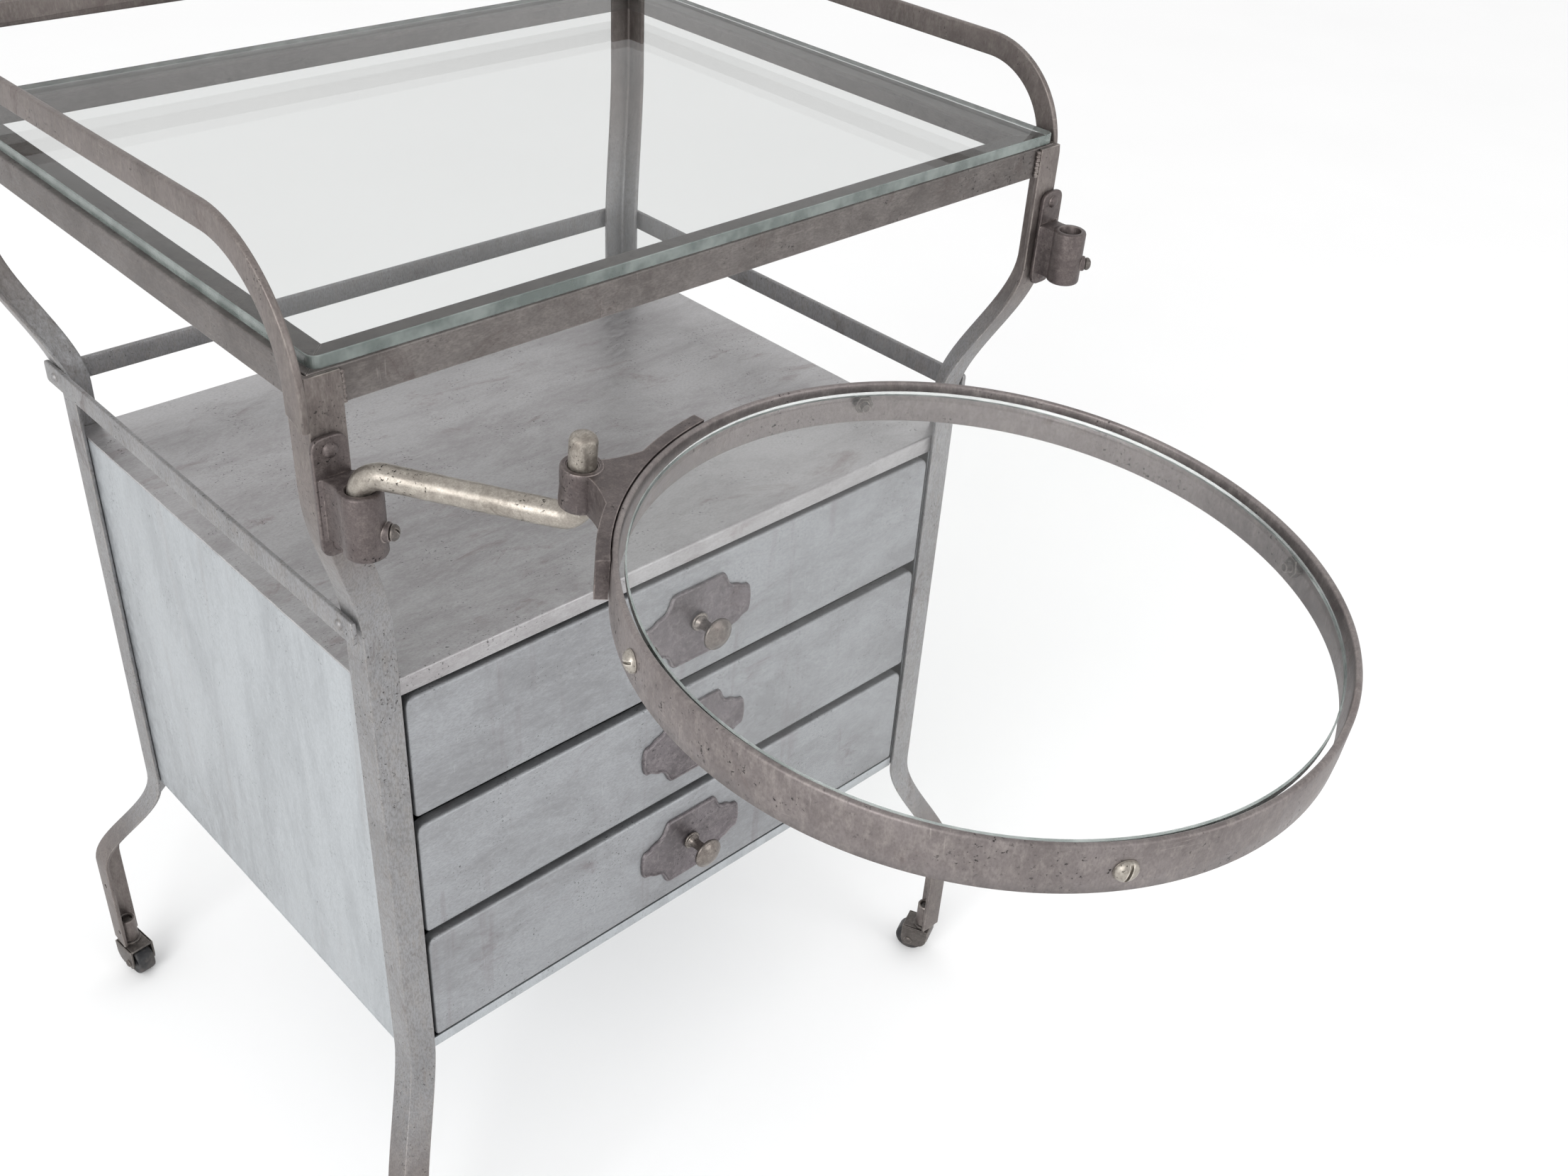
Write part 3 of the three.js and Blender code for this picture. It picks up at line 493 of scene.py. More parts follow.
def slab(bm, outline, z0, z1, matrix, edge=0.6):
    """A plate with rounded edges: the outline in XY, from z0 to z1."""
    outline = [Vector(p) for p in outline]
    steps = [(1, 0), (0.45, 0.12), (0.12, 0.45), (0, 1)]
    levels = [(edge * a, z0 + edge * b) for a, b in steps]
    levels += [(edge * a, z1 - edge * b) for a, b in reversed(steps)]
    loops = [[(*p, z) for p in inset(outline, d)] for d, z in levels]
    bridged(bm, loops, matrix)


def rectangle(x0, x1, y0, y1, radius=0, steps=4):
    return filleted([(x0, y0), (x1, y0), (x1, y1), (x0, y1)], radius, steps)


FRONTAL = Matrix(((1, 0, 0, 0), (0, 0, 1, 0), (0, 1, 0, 0), (0, 0, 0, 1)))   # drawing XY to XZ, depth to +Y
SIDEWAYS = Matrix(((0, 0, 1, 0), (1, 0, 0, 0), (0, 1, 0, 0), (0, 0, 0, 1)))  # drawing XY to YZ, depth to +X


def bevel_sharp(bm, size, segments):
    """Rounds every edge that turns by more than 30 degrees."""
    edges = [e for e in bm.edges if len(e.link_faces) == 2 and e.calc_face_angle() > math.radians(30)]
    bmesh.ops.bevel(bm, geom=edges, offset=size * MM, segments=segments, profile=0.6,
                    affect="EDGES", clamp_overlap=True)


def refined(node, material, size, segments=2):
    """The CAD node's own shape with its flats made whole and its edges rounded."""
    source = frame["nodes"][node]
    bm = bmesh.new()
    bm.from_mesh(source.data)
    bmesh.ops.remove_doubles(bm, verts=bm.verts, dist=2e-6)
    bmesh.ops.dissolve_limit(bm, angle_limit=math.radians(1), verts=bm.verts, edges=bm.edges)
    bevel_sharp(bm, size, segments)
    return piece("look_" + node, bm, source["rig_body"], [node], material)


# ---- legs ----
def smooth(start, end, value):
    """0 at the start, 1 at the end, and an S curve between them."""
    t = min(1, max(0, (value - start) / (end - start)))
    return t * t * (3 - 2 * t)


CORNERS = {
    "front_left": dict(x=-HALF_WIDTH, y=-HALF_DEPTH, turn=0, top=FRAME_TOP, caster=-150,
                       upper=671, lower=224, flare=-4),
    "front_right": dict(x=HALF_WIDTH, y=-HALF_DEPTH, turn=90, top=FRAME_TOP, caster=113,
                        upper=655, lower=216, flare=-1),
    "back_right": dict(x=HALF_WIDTH, y=HALF_DEPTH, turn=180, top=FRAME_TOP + BACK_POST, caster=60,
                       upper=671, lower=224, flare=-4),
    "back_left": dict(x=-HALF_WIDTH, y=HALF_DEPTH, turn=270, top=FRAME_TOP + BACK_POST, caster=-84,
                      upper=655, lower=216, flare=-9),
}


def leg_inset(corner, height):
    """How far a leg stands in from its top corner, along X and along Y."""
    step_in = LEG_INSET * smooth(corner["upper"], UPPER_BEND_END, height)
    step_out = smooth(corner["lower"], corner["lower"] - LOWER_BEND_LENGTH, height)
    return step_in + (corner["flare"] - LEG_INSET) * step_out


ANGLE_SECTION = filleted(
    [(0, 0), (ANGLE, 0), (ANGLE, ANGLE_THICK), (ANGLE_THICK, ANGLE_THICK), (ANGLE_THICK, ANGLE), (0, ANGLE)],
    [1.0, 0.7, 1.3, 2.2, 1.3, 0.7])


def leg(name, corner):
    bm = bmesh.new()
    top, flare = corner["top"], corner["flare"]
    loops = []
    count = int((top - LEG_BOTTOM) / 5)
    for step in range(count + 1):
        height = LEG_BOTTOM + (top - LEG_BOTTOM) * step / count
        shift = leg_inset(corner, height)
        section = inset(ANGLE_SECTION, 0.5) if step in (0, count) else ANGLE_SECTION
        loops.append([(p.x + shift, p.y + shift, height) for p in section])
    loops.insert(1, [(p.x + flare, p.y + flare, LEG_BOTTOM + 0.5) for p in ANGLE_SECTION])
    place = TO_ROW @ moved(corner["x"], corner["y"], 0) @ turned("Z", corner["turn"])
    bridged(bm, loops, place)
    shape = piece("angle_" + name, bm, "frame", ["leg_" + name], FRAME_STEEL, 40)

    # two bolt holes low down on one flange
    holes = []
    for height, across in ((LEG_BOTTOM + 15, 14.5), (LEG_BOTTOM + 64, 8.5)):
        tool = bmesh.new()
        middle = place @ moved(flare + across, flare - 4, height) @ turned("X", -90)
        lathed(tool, [(0, 0), (2.1, 0), (2.1, 10), (0, 10)], middle, 20)
        holes.append(cutter(tool))
    carved(shape, *holes)

    bm = bmesh.new()
    centre = place @ moved(flare + SLEEVE_SET, flare + SLEEVE_SET, LEG_BOTTOM - 0.2)
    lathed(bm, [(4.4, 0.6), (5.0, 0), (6.2, 0), (6.7, 0.6), (6.7, 21.4), (6.2, 22), (5.0, 22), (4.4, 21.4)],
           centre, 32, True)
    piece("sleeve_" + name, bm, "frame", [], FRAME_STEEL)
    bm = bmesh.new()
    weld_bead(bm, (-5.4, -5.4, 0.8), (-5.4, -5.4, 21.5), 2.5, 8, centre)
    piece("sleeve_weld_" + name, bm, "frame", [], WELD_STEEL)


for name, corner in CORNERS.items():
    leg(name, corner)


# ---- top rails ----
RAIL_SECTION = filleted([(0, 0), (0, -ANGLE), (ANGLE_THICK, -ANGLE), (ANGLE_THICK, -ANGLE_THICK),
                         (ANGLE, -ANGLE_THICK), (ANGLE, 0)], [1.0, 0.7, 1.3, 2.2, 1.3, 0.7])
RAIL_SET = ANGLE_THICK + GAP
RAILS = {
    "front": (2 * (HALF_WIDTH - RAIL_SET), 0, -HALF_DEPTH + RAIL_SET, 0),
    "right": (2 * (HALF_DEPTH - RAIL_SET), HALF_WIDTH - RAIL_SET, 0, 90),
    "back": (2 * (HALF_WIDTH - RAIL_SET), 0, HALF_DEPTH - RAIL_SET, 180),
    "left": (2 * (HALF_DEPTH - RAIL_SET), -HALF_WIDTH + RAIL_SET, 0, 270),
}
for name, (length, x, y, degrees) in RAILS.items():
    bm = bmesh.new()
    loops = []
    for step in range(25):
        share = 2 * step / 24 - 1
        sag = 0.35 * math.sin(step * 1.3 + len(name))
        loops.append([(share * (length / 2 - p.x - 0.15), p.x + (0 if abs(share) == 1 else 0.05 * sag), p.y)
                      for p in RAIL_SECTION])
    bridged(bm, loops, TO_ROW @ moved(x, y, FRAME_TOP + GAP) @ turned("Z", degrees))
    piece("rail_" + name, bm, "frame", ["top_rail_" + name], RAIL_STEEL, 40)

# weld beads where the front rail meets the front legs
for side in (-1, 1):
    bm = bmesh.new()
    x = side * (HALF_WIDTH - ANGLE - 0.8)
    weld_bead(bm, (x, -HALF_DEPTH + 2, FRAME_TOP - 1), (x, -HALF_DEPTH + 2, FRAME_TOP - 18), 1.6, 7, TO_ROW)
    piece("weld_rail_" + ("left" if side < 0 else "right"), bm, "frame", [], FRAME_STEEL, 60)


# ---- gallery ----
BAR_SECTION = rectangle(-BAR_WIDTH / 2, BAR_WIDTH / 2, -BAR_THICK / 2, BAR_THICK / 2, 1.3)


def gallery_bar(name, x, front_y, radius, lift):
    """A side bar: up from the front leg, round a bend of the given radius, and back to the post.

    lift is how much higher it lies at the bend than at the post.
    """
    top = FRAME_TOP + GALLERY_HEIGHT + lift
    foot = FRAME_TOP - GALLERY_FOOT
    centre = Vector((front_y + radius, top - radius))
    slope = math.atan2(-lift, HALF_DEPTH - centre.x)
    path = [(Vector((front_y, foot + (centre.y - foot) * k / 4)), math.pi) for k in range(4)]
    for k in range(29):
        angle = math.pi + (math.pi / 2 + slope - math.pi) * k / 28
        path.append((centre + Vector((math.cos(angle), math.sin(angle))) * radius, angle))
    start, angle = path[-1]
    run = HALF_DEPTH - start.x
    for k in range(1, 21):
        path.append((start + Vector((run * k / 20, run * math.tan(slope) * k / 20)), angle))
    loops = []
    for point, angle in path:
        out = Vector((math.cos(angle), math.sin(angle)))
        loops.append([(x + p.y, point.x + out.x * p.x, point.y + out.y * p.x) for p in BAR_SECTION])
    loops[0] = [(px, py, pz + 0.35 * (py - front_y)) for px, py, pz in loops[0]]
    bm = bmesh.new()
    bridged(bm, loops, TO_ROW)
    piece(name + "_bar", bm, "frame", [name], FRAME_STEEL, 50)


BAR_SIDE = HALF_WIDTH + GAP + BAR_THICK / 2
gallery_bar("gallery_left", -BAR_SIDE, -HALF_DEPTH + 5, 65.5, 7)
gallery_bar("gallery_right", BAR_SIDE, -HALF_DEPTH + 13, 54.5, 0)
bm = bmesh.new()
back_z = FRAME_TOP + GALLERY_HEIGHT - BAR_WIDTH / 2
back_end = HALF_WIDTH + GAP + BAR_THICK
slab(bm, rectangle(-back_end, back_end, back_z, back_z + BAR_WIDTH, 1.2), HALF_DEPTH + GAP,
     HALF_DEPTH + GAP + BAR_THICK, TO_ROW @ FRONTAL, 1.1)
piece("gallery_back_bar", bm, "frame", ["gallery_back"], FRAME_STEEL, 50)


# ---- guard rails ----
def guard(name, length, matrix):
    bm = bmesh.new()
    outline = rectangle(-length / 2, length / 2, -BAR_WIDTH / 2, BAR_WIDTH / 2, [3, 3, 3, 3], 5)
    slab(bm, outline, 0, GUARD_THICK, TO_ROW @ matrix @ SIDEWAYS, 0.9)
    piece(name + "_bar", bm, "frame", [name], FRAME_STEEL, 50)


def guard_face(height):
    """How far out of the middle a side guard lies, just outside all the legs at its upper edge."""
    return HALF_WIDTH - min(leg_inset(corner, height + BAR_WIDTH / 2) for corner in CORNERS.values()) + GAP


side_length = 2 * (HALF_DEPTH - LEG_INSET) + 4
left_face = guard_face(GUARD_LEFT_Z)
right_face = guard_face(GUARD_Z)
back_face = HALF_DEPTH - HALF_WIDTH + right_face + GAP
guard("guard_left", side_length, moved(-left_face - GUARD_THICK, 0, GUARD_LEFT_Z))
guard("guard_right", side_length, moved(right_face, 0, GUARD_Z))
guard("guard_back", 2 * left_face - 2 * GAP, moved(0, back_face + GUARD_THICK, GUARD_Z) @ turned("Z", -90))

# rivets that hold the guard rails to the legs
bm = bmesh.new()
RIVET = [(0, 2.1), (1.2, 1.95), (2.3, 1.5), (3.1, 0.7), (3.3, 0), (0, 0)]
for y in (-174, 173):
    lathed(bm, RIVET, TO_ROW @ moved(-left_face - GUARD_THICK, y, GUARD_LEFT_Z) @ turned("Y", -90), 20)
    lathed(bm, RIVET, TO_ROW @ moved(right_face + GUARD_THICK, y, GUARD_Z) @ turned("Y", 90), 20)
piece("guard_rivets", bm, "frame", [], FRAME_STEEL, 60)


# ---- cabinet ----
CABINET_X = HALF_WIDTH - LEG_INSET - ANGLE_THICK - GAP
CABINET_Y = HALF_DEPTH - LEG_INSET - ANGLE_THICK - GAP
OPENING_X = HALF_WIDTH - LEG_INSET - ANGLE
FRONT_FACE = -CABINET_Y - 2
bm = bmesh.new()
fold = filleted([(-CABINET_Y, CABINET_TOP - APRON), (-CABINET_Y, CABINET_TOP), (CABINET_Y, CABINET_TOP),
                 (CABINET_Y, CABINET_TOP - SHEET), (-CABINET_Y + SHEET, CABINET_TOP - SHEET),
                 (-CABINET_Y + SHEET, CABINET_TOP - APRON)], [0.3, 2.2, 0.4, 0.4, 1.0, 0.3], 5)
slab(bm, fold, -CABINET_X, CABINET_X, TO_ROW @ SIDEWAYS, 0.1)
piece("lid", bm, "frame", ["cabinet_top"], LID_STEEL, 40)

for level in (1, 2, 3):
    body = f"drawer_{level}"
    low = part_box(f"drawer_{level}_front")[0].z / MM
    half = OPENING_X - 2.5
    outline = rectangle(-half, half, low, low + DRAWER_HEIGHT, [3, 3, 8, 8], 7)
    bm = bmesh.new()
    levels = [(1.2, 1.4), (1.2, 8), (0.9, 8), (0, 7.7), (0, 2.2), (0.18, 1.25), (0.65, 0.55), (1.3, 0.15),
              (2.2, 0)]
    loops = [[(*p, FRONT_FACE + depth) for p in inset(outline, d)] for d, depth in levels]
    bridged(bm, loops, TO_ROW @ FRONTAL)
    piece(f"front_{level}", bm, body, [f"drawer_{level}_front"], DRAWER_STEEL, 40)

    # pull plate: a pressed cartouche with its rim turned
    rise, wide = PULL_HEIGHT / 2, PULL_WIDTH / 2
    quarter = [(0, rise), (10, rise), (19.5, rise), (21.5, rise - 0.8), (23.2, rise - 3.2),
               (24.6, rise - 7), (26.6, rise - 10.6), (29.5, rise - 12.4), (32.5, rise - 13.0),
               (35.2, rise - 14.4), (37.6, rise - 16.2), (40, rise - 16.9), (42.2, rise - 17.2),
               (43.9, rise - 19.4), (44.7, rise - 23.4), (wide, 0)]
    right_half = quarter + [(x, -y) for x, y in quarter[-2::-1]]
    plate = [Vector(p) for p in right_half + [(-x, y) for x, y in right_half[-2:0:-1]]]
    bm = bmesh.new()
    levels = [(0, 0.05), (0, 0.9), (0.3, 1.5), (0.8, 2.1), (1.2, 2.25), (1.6, 2.05), (2.0, 1.4),
              (2.5, 0.85), (3.2, 0.7)]
    loops = [[(*p, FRONT_FACE - GAP - out) for p in inset(plate, d)] for d, out in levels]
    bridged(bm, loops, TO_ROW @ moved(0, 0, low + DRAWER_HEIGHT / 2) @ FRONTAL)
    piece(f"cartouche_{level}", bm, body, [f"drawer_{level}_pull_plate"], PULL_STEEL, 50)

    bm = bmesh.new()
    flange = [(0, 0), (6.2, 0), (6.6, 0.4), (6.6, 1.3), (6.1, 1.8), (5.2, 2.1)]
    neck = [(4.9, 2.9), (4.2, 3.6), (3.7, 5.2), (3.5, 8), (3.7, 11), (4.4, 13.2), (6.0, 14.7)]
    head = [(8.4, 15.8), (10.4, 16.5), (11.2, 17.4), (11.3, 18.4), (10.9, 19.3), (10.2, 19.7), (9.8, 19.8),
            (9.3, 20.3), (8.0, 21.2), (6.0, 22.2), (3.4, 22.9), (0, 23.2)]
    knob = TO_ROW @ moved(0, FRONT_FACE - 1.5, low + DRAWER_HEIGHT / 2) @ turned("X", 90)
    lathed(bm, flange + neck + head, knob, 64)
    piece(f"knob_{level}", bm, body, [f"drawer_{level}_knob"], KNOB_STEEL, 50)


# ---- sockets ----
SOCKET_Y = -HALF_DEPTH - BARREL_OUT
SOCKET_X = {"left": -HALF_WIDTH + 10.1, "right": HALF_WIDTH - 6.5}
PLATE_SHIFT = {"left": -2.5, "right": 2.7}
bottom, top = SOCKET
for side, x in SOCKET_X.items():
    shift = PLATE_SHIFT[side]
    here = TO_ROW @ moved(x, SOCKET_Y, 0)
    bm = bmesh.new()
    slab(bm, rectangle(shift - 9.5, shift + 9.5, *SOCKET_PLATE, 7, 6), 18.7, 21.7, here @ FRONTAL, 0.9)
    neck = [(-8.4, 3), (8.4, 3), (8.2, 9), (8.1, 12.5), (8.4, 15.5), (9.0, 17.6), (shift + 9.2, 19.4),
            (shift - 9.2, 19.4), (-9.0, 17.6), (-8.4, 15.5), (-8.1, 12.5), (-8.2, 9)]
    slab(bm, neck, bottom + 1, top - 0.8, here, 1.6)
    barrel = [(6.7, bottom + 1), (7.4, bottom), (9.4, bottom), (10.1, bottom + 0.5), (10.5, bottom + 1.5),
              (10.5, top - 1.5), (10.1, top - 0.5), (9.4, top), (7.4, top), (6.7, top - 0.9)]
    shape_barrel = bmesh.new()
    lathed(shape_barrel, barrel, here, 56, True)
    plate = piece(f"socket_plate_{side}", bm, "frame", [], BRACKET_STEEL, 45)
    tool = bmesh.new()
    lathed(tool, [(0, bottom - 10), (6.9, bottom - 10), (6.9, top + 15.5), (0, top + 15.5)], here, 40)
    carved(plate, cutter(tool))
    boss = here @ turned("Z", SCREW_HEADING) @ moved(0, 0, SCREW_HEIGHT) @ turned("Y", 90)
    lathed(shape_barrel, [(2.6, 8), (4.9, 8), (4.9, 11.6), (4.4, 12.5), (2.6, 12.7)], boss, 24, True)
    piece(f"socket_barrel_{side}", shape_barrel, "frame", [f"socket_{side}"],
          BRACKET_STEEL, 45)
    bm = bmesh.new()
    for height in (SOCKET_PLATE[0] + 6.5, SOCKET_PLATE[1] - 7):
        lathed(bm, [(0, 2.4), (1.6, 2.25), (3, 1.6), (3.9, 0.5), (4.0, 0), (0, 0)],
               here @ moved(shift, 18.8, height) @ turned("X", 90), 28)
    piece(f"socket_rivets_{side}", bm, "frame", [], BRACKET_STEEL, 60)
    bm = bmesh.new()
    lathed(bm, [(0, 7.0), (2.0, 7.0), (2.0, 12.9), (3.7, 12.9), (4.1, 13.4), (4.0, 14.6), (3.1, 15.8),
                (1.6, 16.5), (0, 16.7)], boss, 32)
    screw = piece(f"clamp_screw_{side}", bm, f"{side}_screw", [f"set_screw_{side}"],
                  CASTER_STEEL, 45)
    tool = bmesh.new()
    slab(tool, rectangle(-6, 6, -0.55, 0.55), 15.2, 20, boss @ turned("Z", 30), 0.01)
    carved(screw, cutter(tool))


# ---- swing arm ----
ARM = TO_ROW @ moved(SOCKET_X["left"], SOCKET_Y, 0) @ turned("Z", ARM_HEADING)
PIN = ARM @ moved(ARM_REACH, 0, ARM_END_LEVEL) @ turned("Z", LEAN_HEADING - ARM_HEADING) @ turned("Y", DROOP)
TRAY = PIN @ turned("Z", TRAY_HEADING - LEAN_HEADING)
lean = turned("Z", LEAN_HEADING - ARM_HEADING) @ turned("Y", DROOP) @ Vector((0, 0, 1))
elbow = Vector((0, 0, ARM_LEVEL))
knee = Vector((ARM_REACH, 0, ARM_END_LEVEL))
along = (knee - elbow).normalized()


def corner_points(before, corner, after, steps):
    """A near-circular bend between two straight runs, with its ends."""
    a, b = before.lerp(corner, 0.55), after.lerp(corner, 0.55)
    out = []
    for k in range(steps + 1):
        f = k / steps
        g = 1 - f
        out.append(before * g ** 3 + a * 3 * f * g ** 2 + b * 3 * f * f * g + after * f ** 3)
    return out


line = [Vector((0, 0, ARM_BOTTOM)), Vector((0, 0, ARM_BOTTOM + 15))]
line += corner_points(Vector((0, 0, ARM_LEVEL - 12)), elbow, elbow + along * 12, 14)
line += [(elbow + along * 12).lerp(knee - along * 9, k / 24) for k in range(1, 24)]
line += corner_points(knee - along * 9, knee, knee + lean * 9, 14)
line += [knee + lean * h for h in (20, 32, 40.3)]
loops = []
for i, point in enumerate(line):
    tangent = (line[min(i + 1, len(line) - 1)] - line[max(i - 1, 0)]).normalized()
    side_axis = Vector((0, 1, 0))
    other = tangent.cross(side_axis).normalized()
    radius = ROD_RADIUS * (1 + 0.012 * math.sin(i * 0.9))
    loops.append([point + (side_axis * math.cos(a) + other * math.sin(a)) * radius
                  for a in (2 * math.pi * k / 36 for k in range(36))])
for height, radius in ((41.6, 6.1), (42.7, 5.5), (43.6, 4.4), (44.3, 2.8), (44.6, 1.2)):
    tip = knee + lean * height
    across = lean.cross(Vector((0, 1, 0)))
    loops.append([tip + (Vector((0, 1, 0)) * math.cos(a) + across * math.sin(a)) * radius
                  for a in (2 * math.pi * k / 36 for k in range(36))])
bm = bmesh.new()
bridged(bm, loops, ARM)
piece("arm_rod", bm, "arm", ["swing_arm"], NICKEL, 50)


# ---- tray ----
refined("tray_bracket", BRACKET_STEEL, 1.1, 3)
bm = bmesh.new()
lathed(bm, [(6.8, 8.6), (7.4, 8.0), (9.2, 8.0), (9.8, 8.7), (9.9, 12), (9.6, 18), (9.9, 25), (9.8, 27.6),
            (9.2, 28.3), (7.4, 28.3), (6.8, 27.7)], TRAY, 48, True)
piece("bracket_boss", bm, "tray", [], BRACKET_STEEL, 45)

bm = bmesh.new()
low, high = HOOP_TOP - HOOP_HEIGHT, HOOP_TOP
inner = HOOP - HOOP_THICK
lathed(bm, [(inner, low + 0.8), (inner + 0.6, low + 0.1), (HOOP - 0.8, low), (HOOP - 0.1, low + 0.6),
            (HOOP + 0.15, 12), (HOOP, high - 1.3), (HOOP - 0.35, high - 0.5), (HOOP - 1.1, high),
            (inner + 0.8, high), (inner + 0.2, high - 0.5), (inner, high - 1.3), (inner, 15)],
       TRAY @ moved(REACH, 0, 0), 200, True)
piece("hoop", bm, "tray", ["tray_hoop"], FITTING_STEEL, 50)

for index, heading in enumerate(SCREW_HEADINGS):
    here = TRAY @ moved(REACH, 0, HOOP_TOP - SCREW_DROP) @ turned("Z", heading) @ turned("Y", 90)
    bm = bmesh.new()
    lathed(bm, [(0, HOOP + 0.2), (4.9, HOOP + 0.2), (4.9, HOOP + 0.9), (4.3, HOOP + 2.1), (3.1, HOOP + 3.0),
                (1.6, HOOP + 3.5), (0, HOOP + 3.6)], here, 36)
    head = piece(f"screw_head_{index + 1}", bm, "tray", [], NICKEL, 45)
    tool = bmesh.new()
    slab(tool, rectangle(-6, 6, -0.6, 0.6), HOOP + 2.0, HOOP + 8, here @ turned("Z", 20 + 50 * index), 0.01)
    carved(head, cutter(tool))
    bm = bmesh.new()
    turns = [math.pi / 3 * k + 0.5 for k in range(6)]
    hexagon = [Vector((4.9 * math.cos(a), 4.9 * math.sin(a))) for a in turns]
    slab(bm, hexagon, inner - 3.8, inner - GAP, here, 0.5)
    shank = [(0, inner - 7), (2.0, inner - 7), (2.3, inner - 6.5), (2.3, inner - 0.2), (0, inner - 0.2)]
    lathed(bm, shank, here, 20)
    piece(f"screw_nut_{index + 1}", bm, "tray", [f"tray_screw_{index + 1}"], CASTER_STEEL, 40)


# ---- glass ----
def glass_plate(name, bm, body, node, clear):
    """A pane with clear faces and a darker edge."""
    shape = piece(name, bm, body, [node], [clear, GLASS_EDGE], 25)
    upward = (TRAY.to_3x3() @ Vector((0, 0, 1))).normalized() if body == "tray_plate" else Vector((0, 0, 1))
    for face in shape.data.polygons:
        face.use_smooth = False
        face.material_index = 0 if abs(face.normal.dot(upward)) > 0.999 else 1
    return shape


bm = bmesh.new()
seat = FRAME_TOP + 2 * GAP
outline = rectangle(-HALF_WIDTH + GLASS_MARGIN["left"], HALF_WIDTH - GLASS_MARGIN["right"],
                    -HALF_DEPTH + GLASS_MARGIN["front"], HALF_DEPTH - GLASS_MARGIN["back"], 6, 8)
slab(bm, outline, seat, seat + GLASS_THICK, TO_ROW, 0.7)
glass_plate("glass_sheet", bm, "glass_plate", "glass_top", TOP_GLASS)
bm = bmesh.new()
low = HOOP_TOP - SCREW_DROP + NUT_RADIUS + GAP
high = low + TRAY_GLASS_THICK
rim = inner - 2.6
lathed(bm, [(0, low), (rim - 0.7, low), (rim, low + 0.7), (rim, high - 0.7), (rim - 0.7, high), (0, high)],
       TRAY @ moved(REACH, 0, 0), 160)
bmesh.ops.dissolve_limit(bm, angle_limit=math.radians(0.5), verts=bm.verts, edges=bm.edges)
glass_plate("glass_disc", bm, "tray_plate", "tray_glass", TRAY_GLASS)


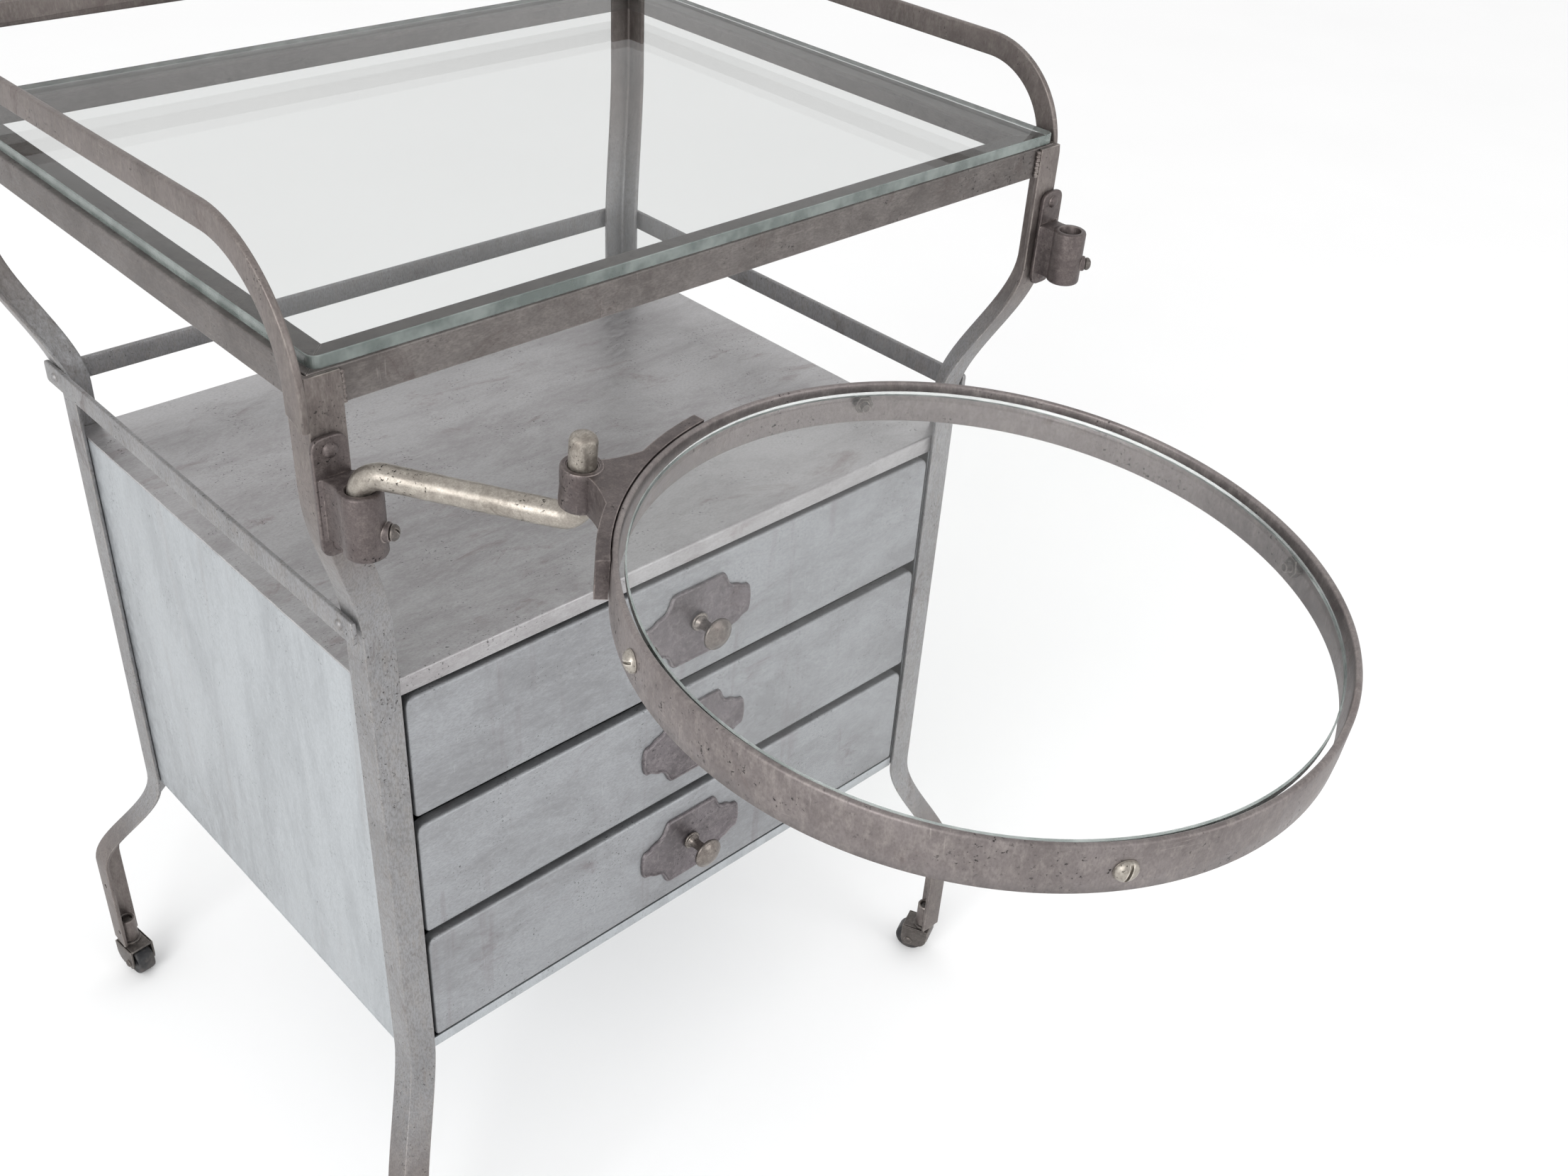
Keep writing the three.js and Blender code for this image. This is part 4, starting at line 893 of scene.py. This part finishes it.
# ---- casters ----
for name, corner in CORNERS.items():
    offset = corner["flare"] + SLEEVE_SET
    x = corner["x"] - math.copysign(offset, corner["x"])
    y = corner["y"] - math.copysign(offset, corner["y"])
    here = TO_ROW @ moved(x, y, 0) @ turned("Z", corner["caster"])
    body = "swivel_" + name
    bm = bmesh.new()
    cheek = filleted([(-7.6, 28.6), (-7.3, 15), (-3, 9), (TRAIL - 2, 7.4), (TRAIL + 4.5, 8),
                      (TRAIL + 6.8, 12), (TRAIL + 6.8, 28.6)], [1, 3, 3, 2, 2, 3, 1], 4)
    for y0 in (-10.2, 8.3):
        slab(bm, cheek, y0, y0 + 1.9, here @ FRONTAL, 0.5)
    slab(bm, rectangle(-7.6, TRAIL + 6.7, -10.2, 10.2, 2.5), 26.4, 28.6, here, 0.7)
    slab(bm, rectangle(-7.9, -6.1, -9.8, 9.8, 0.8), 17.5, 27.5, here, 0.5)
    lathed(bm, [(0, 26), (4, 26), (4, 50.5), (3.2, 51), (0, 51)], here, 28)
    lathed(bm, [(4.2, 28.4), (7.6, 28.4), (8.2, 29), (8.2, 30), (7.6, 30.5), (4.2, 30.5)], here, 36, True)
    for side in (-1, 1):
        axle = here @ moved(TRAIL, 0, WHEEL_RADIUS) @ turned("X", 90 * side)
        axle_end = [(0, 6), (2, 6), (2, 10.0), (3.3, 10.1), (3.4, 10.8), (2.6, 11.7), (1.2, 12.0), (0, 12.05)]
        lathed(bm, axle_end, axle, 24)
    piece("fork_" + name, bm, body, ["caster_fork_" + name], CASTER_STEEL, 40)
    bm = bmesh.new()
    half_wheel = [(WHEEL_RADIUS, 4), (12.6, 5.6), (12.1, 6.6), (11.2, 7.0), (10.2, 6.6), (9.6, 6.1),
                  (6.2, 6.1), (5.6, 6.4), (5.2, 7.2), (4.6, 7.5), (2.25, 7.5)]
    whole_wheel = [(radius, -across) for radius, across in reversed(half_wheel)] + half_wheel
    lathed(bm, whole_wheel, here @ moved(TRAIL, 0, WHEEL_RADIUS) @ turned("X", 90), 64, True)
    piece("wheel_" + name, bm, "wheel_" + name, ["caster_wheel_" + name], WHEEL_RUBBER, 40)


# ---- CAD nodes whose own shape is kept, with rounded edges ----
KEPT = [
    (("cabinet_side", "cabinet_back", "cabinet_floor"), "cabinet_steel", SIDE_STEEL, 0.4),
    (("runner_", "drawer_1_box", "drawer_2_box", "drawer_3_box"), "cabinet_steel", INNER_STEEL, 0.3),
]
for starts, slot_name, look, size in KEPT:
    for node in sorted(n for n in frame["nodes"] if n.startswith(starts)):
        refined(node, look, size)


# ---- floor and light ----
floor_mesh = bpy.data.meshes.new("floor")
bm = bmesh.new()
bmesh.ops.create_grid(bm, x_segments=8, y_segments=8, size=6)
bm.to_mesh(floor_mesh)
bm.free()
floor = bpy.data.objects.new("floor", floor_mesh)
scene.collection.objects.link(floor)
paper = Nodes("floor_paper")
tone = paper.mix(paper.noise(3, 2), (0.91, 0.91, 0.91), (0.94, 0.94, 0.94))
paper.link(tone, paper.shader.inputs["Base Color"])
paper.shader.inputs["Roughness"].default_value = 0.9
floor_mesh.materials.append(paper.material)
floor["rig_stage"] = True

world = bpy.data.worlds.new("studio")
scene.world = world
world.use_nodes = True
world.node_tree.nodes["Background"].inputs["Color"].default_value = (1, 1, 1, 1)
world.node_tree.nodes["Background"].inputs["Strength"].default_value = 1.0


def softbox(name, place, target, width, height, power):
    light = bpy.data.objects.new(name, bpy.data.lights.new(name, "AREA"))
    light.data.shape = "RECTANGLE"
    light.data.size = width
    light.data.size_y = height
    light.data.energy = power
    light.location = place
    light.rotation_mode = "QUATERNION"
    light.rotation_quaternion = (Vector(place) - Vector(target)).to_track_quat("Z", "Y")
    scene.collection.objects.link(light)


softbox("key_light", (-2.6, -0.9, 1.9), (0, 0.1, 0.5), 1.8, 1.8, 45)
softbox("front_light", (0.9, -2.8, 1.6), (0, 0, 0.5), 1.6, 1.6, 18)

low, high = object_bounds()
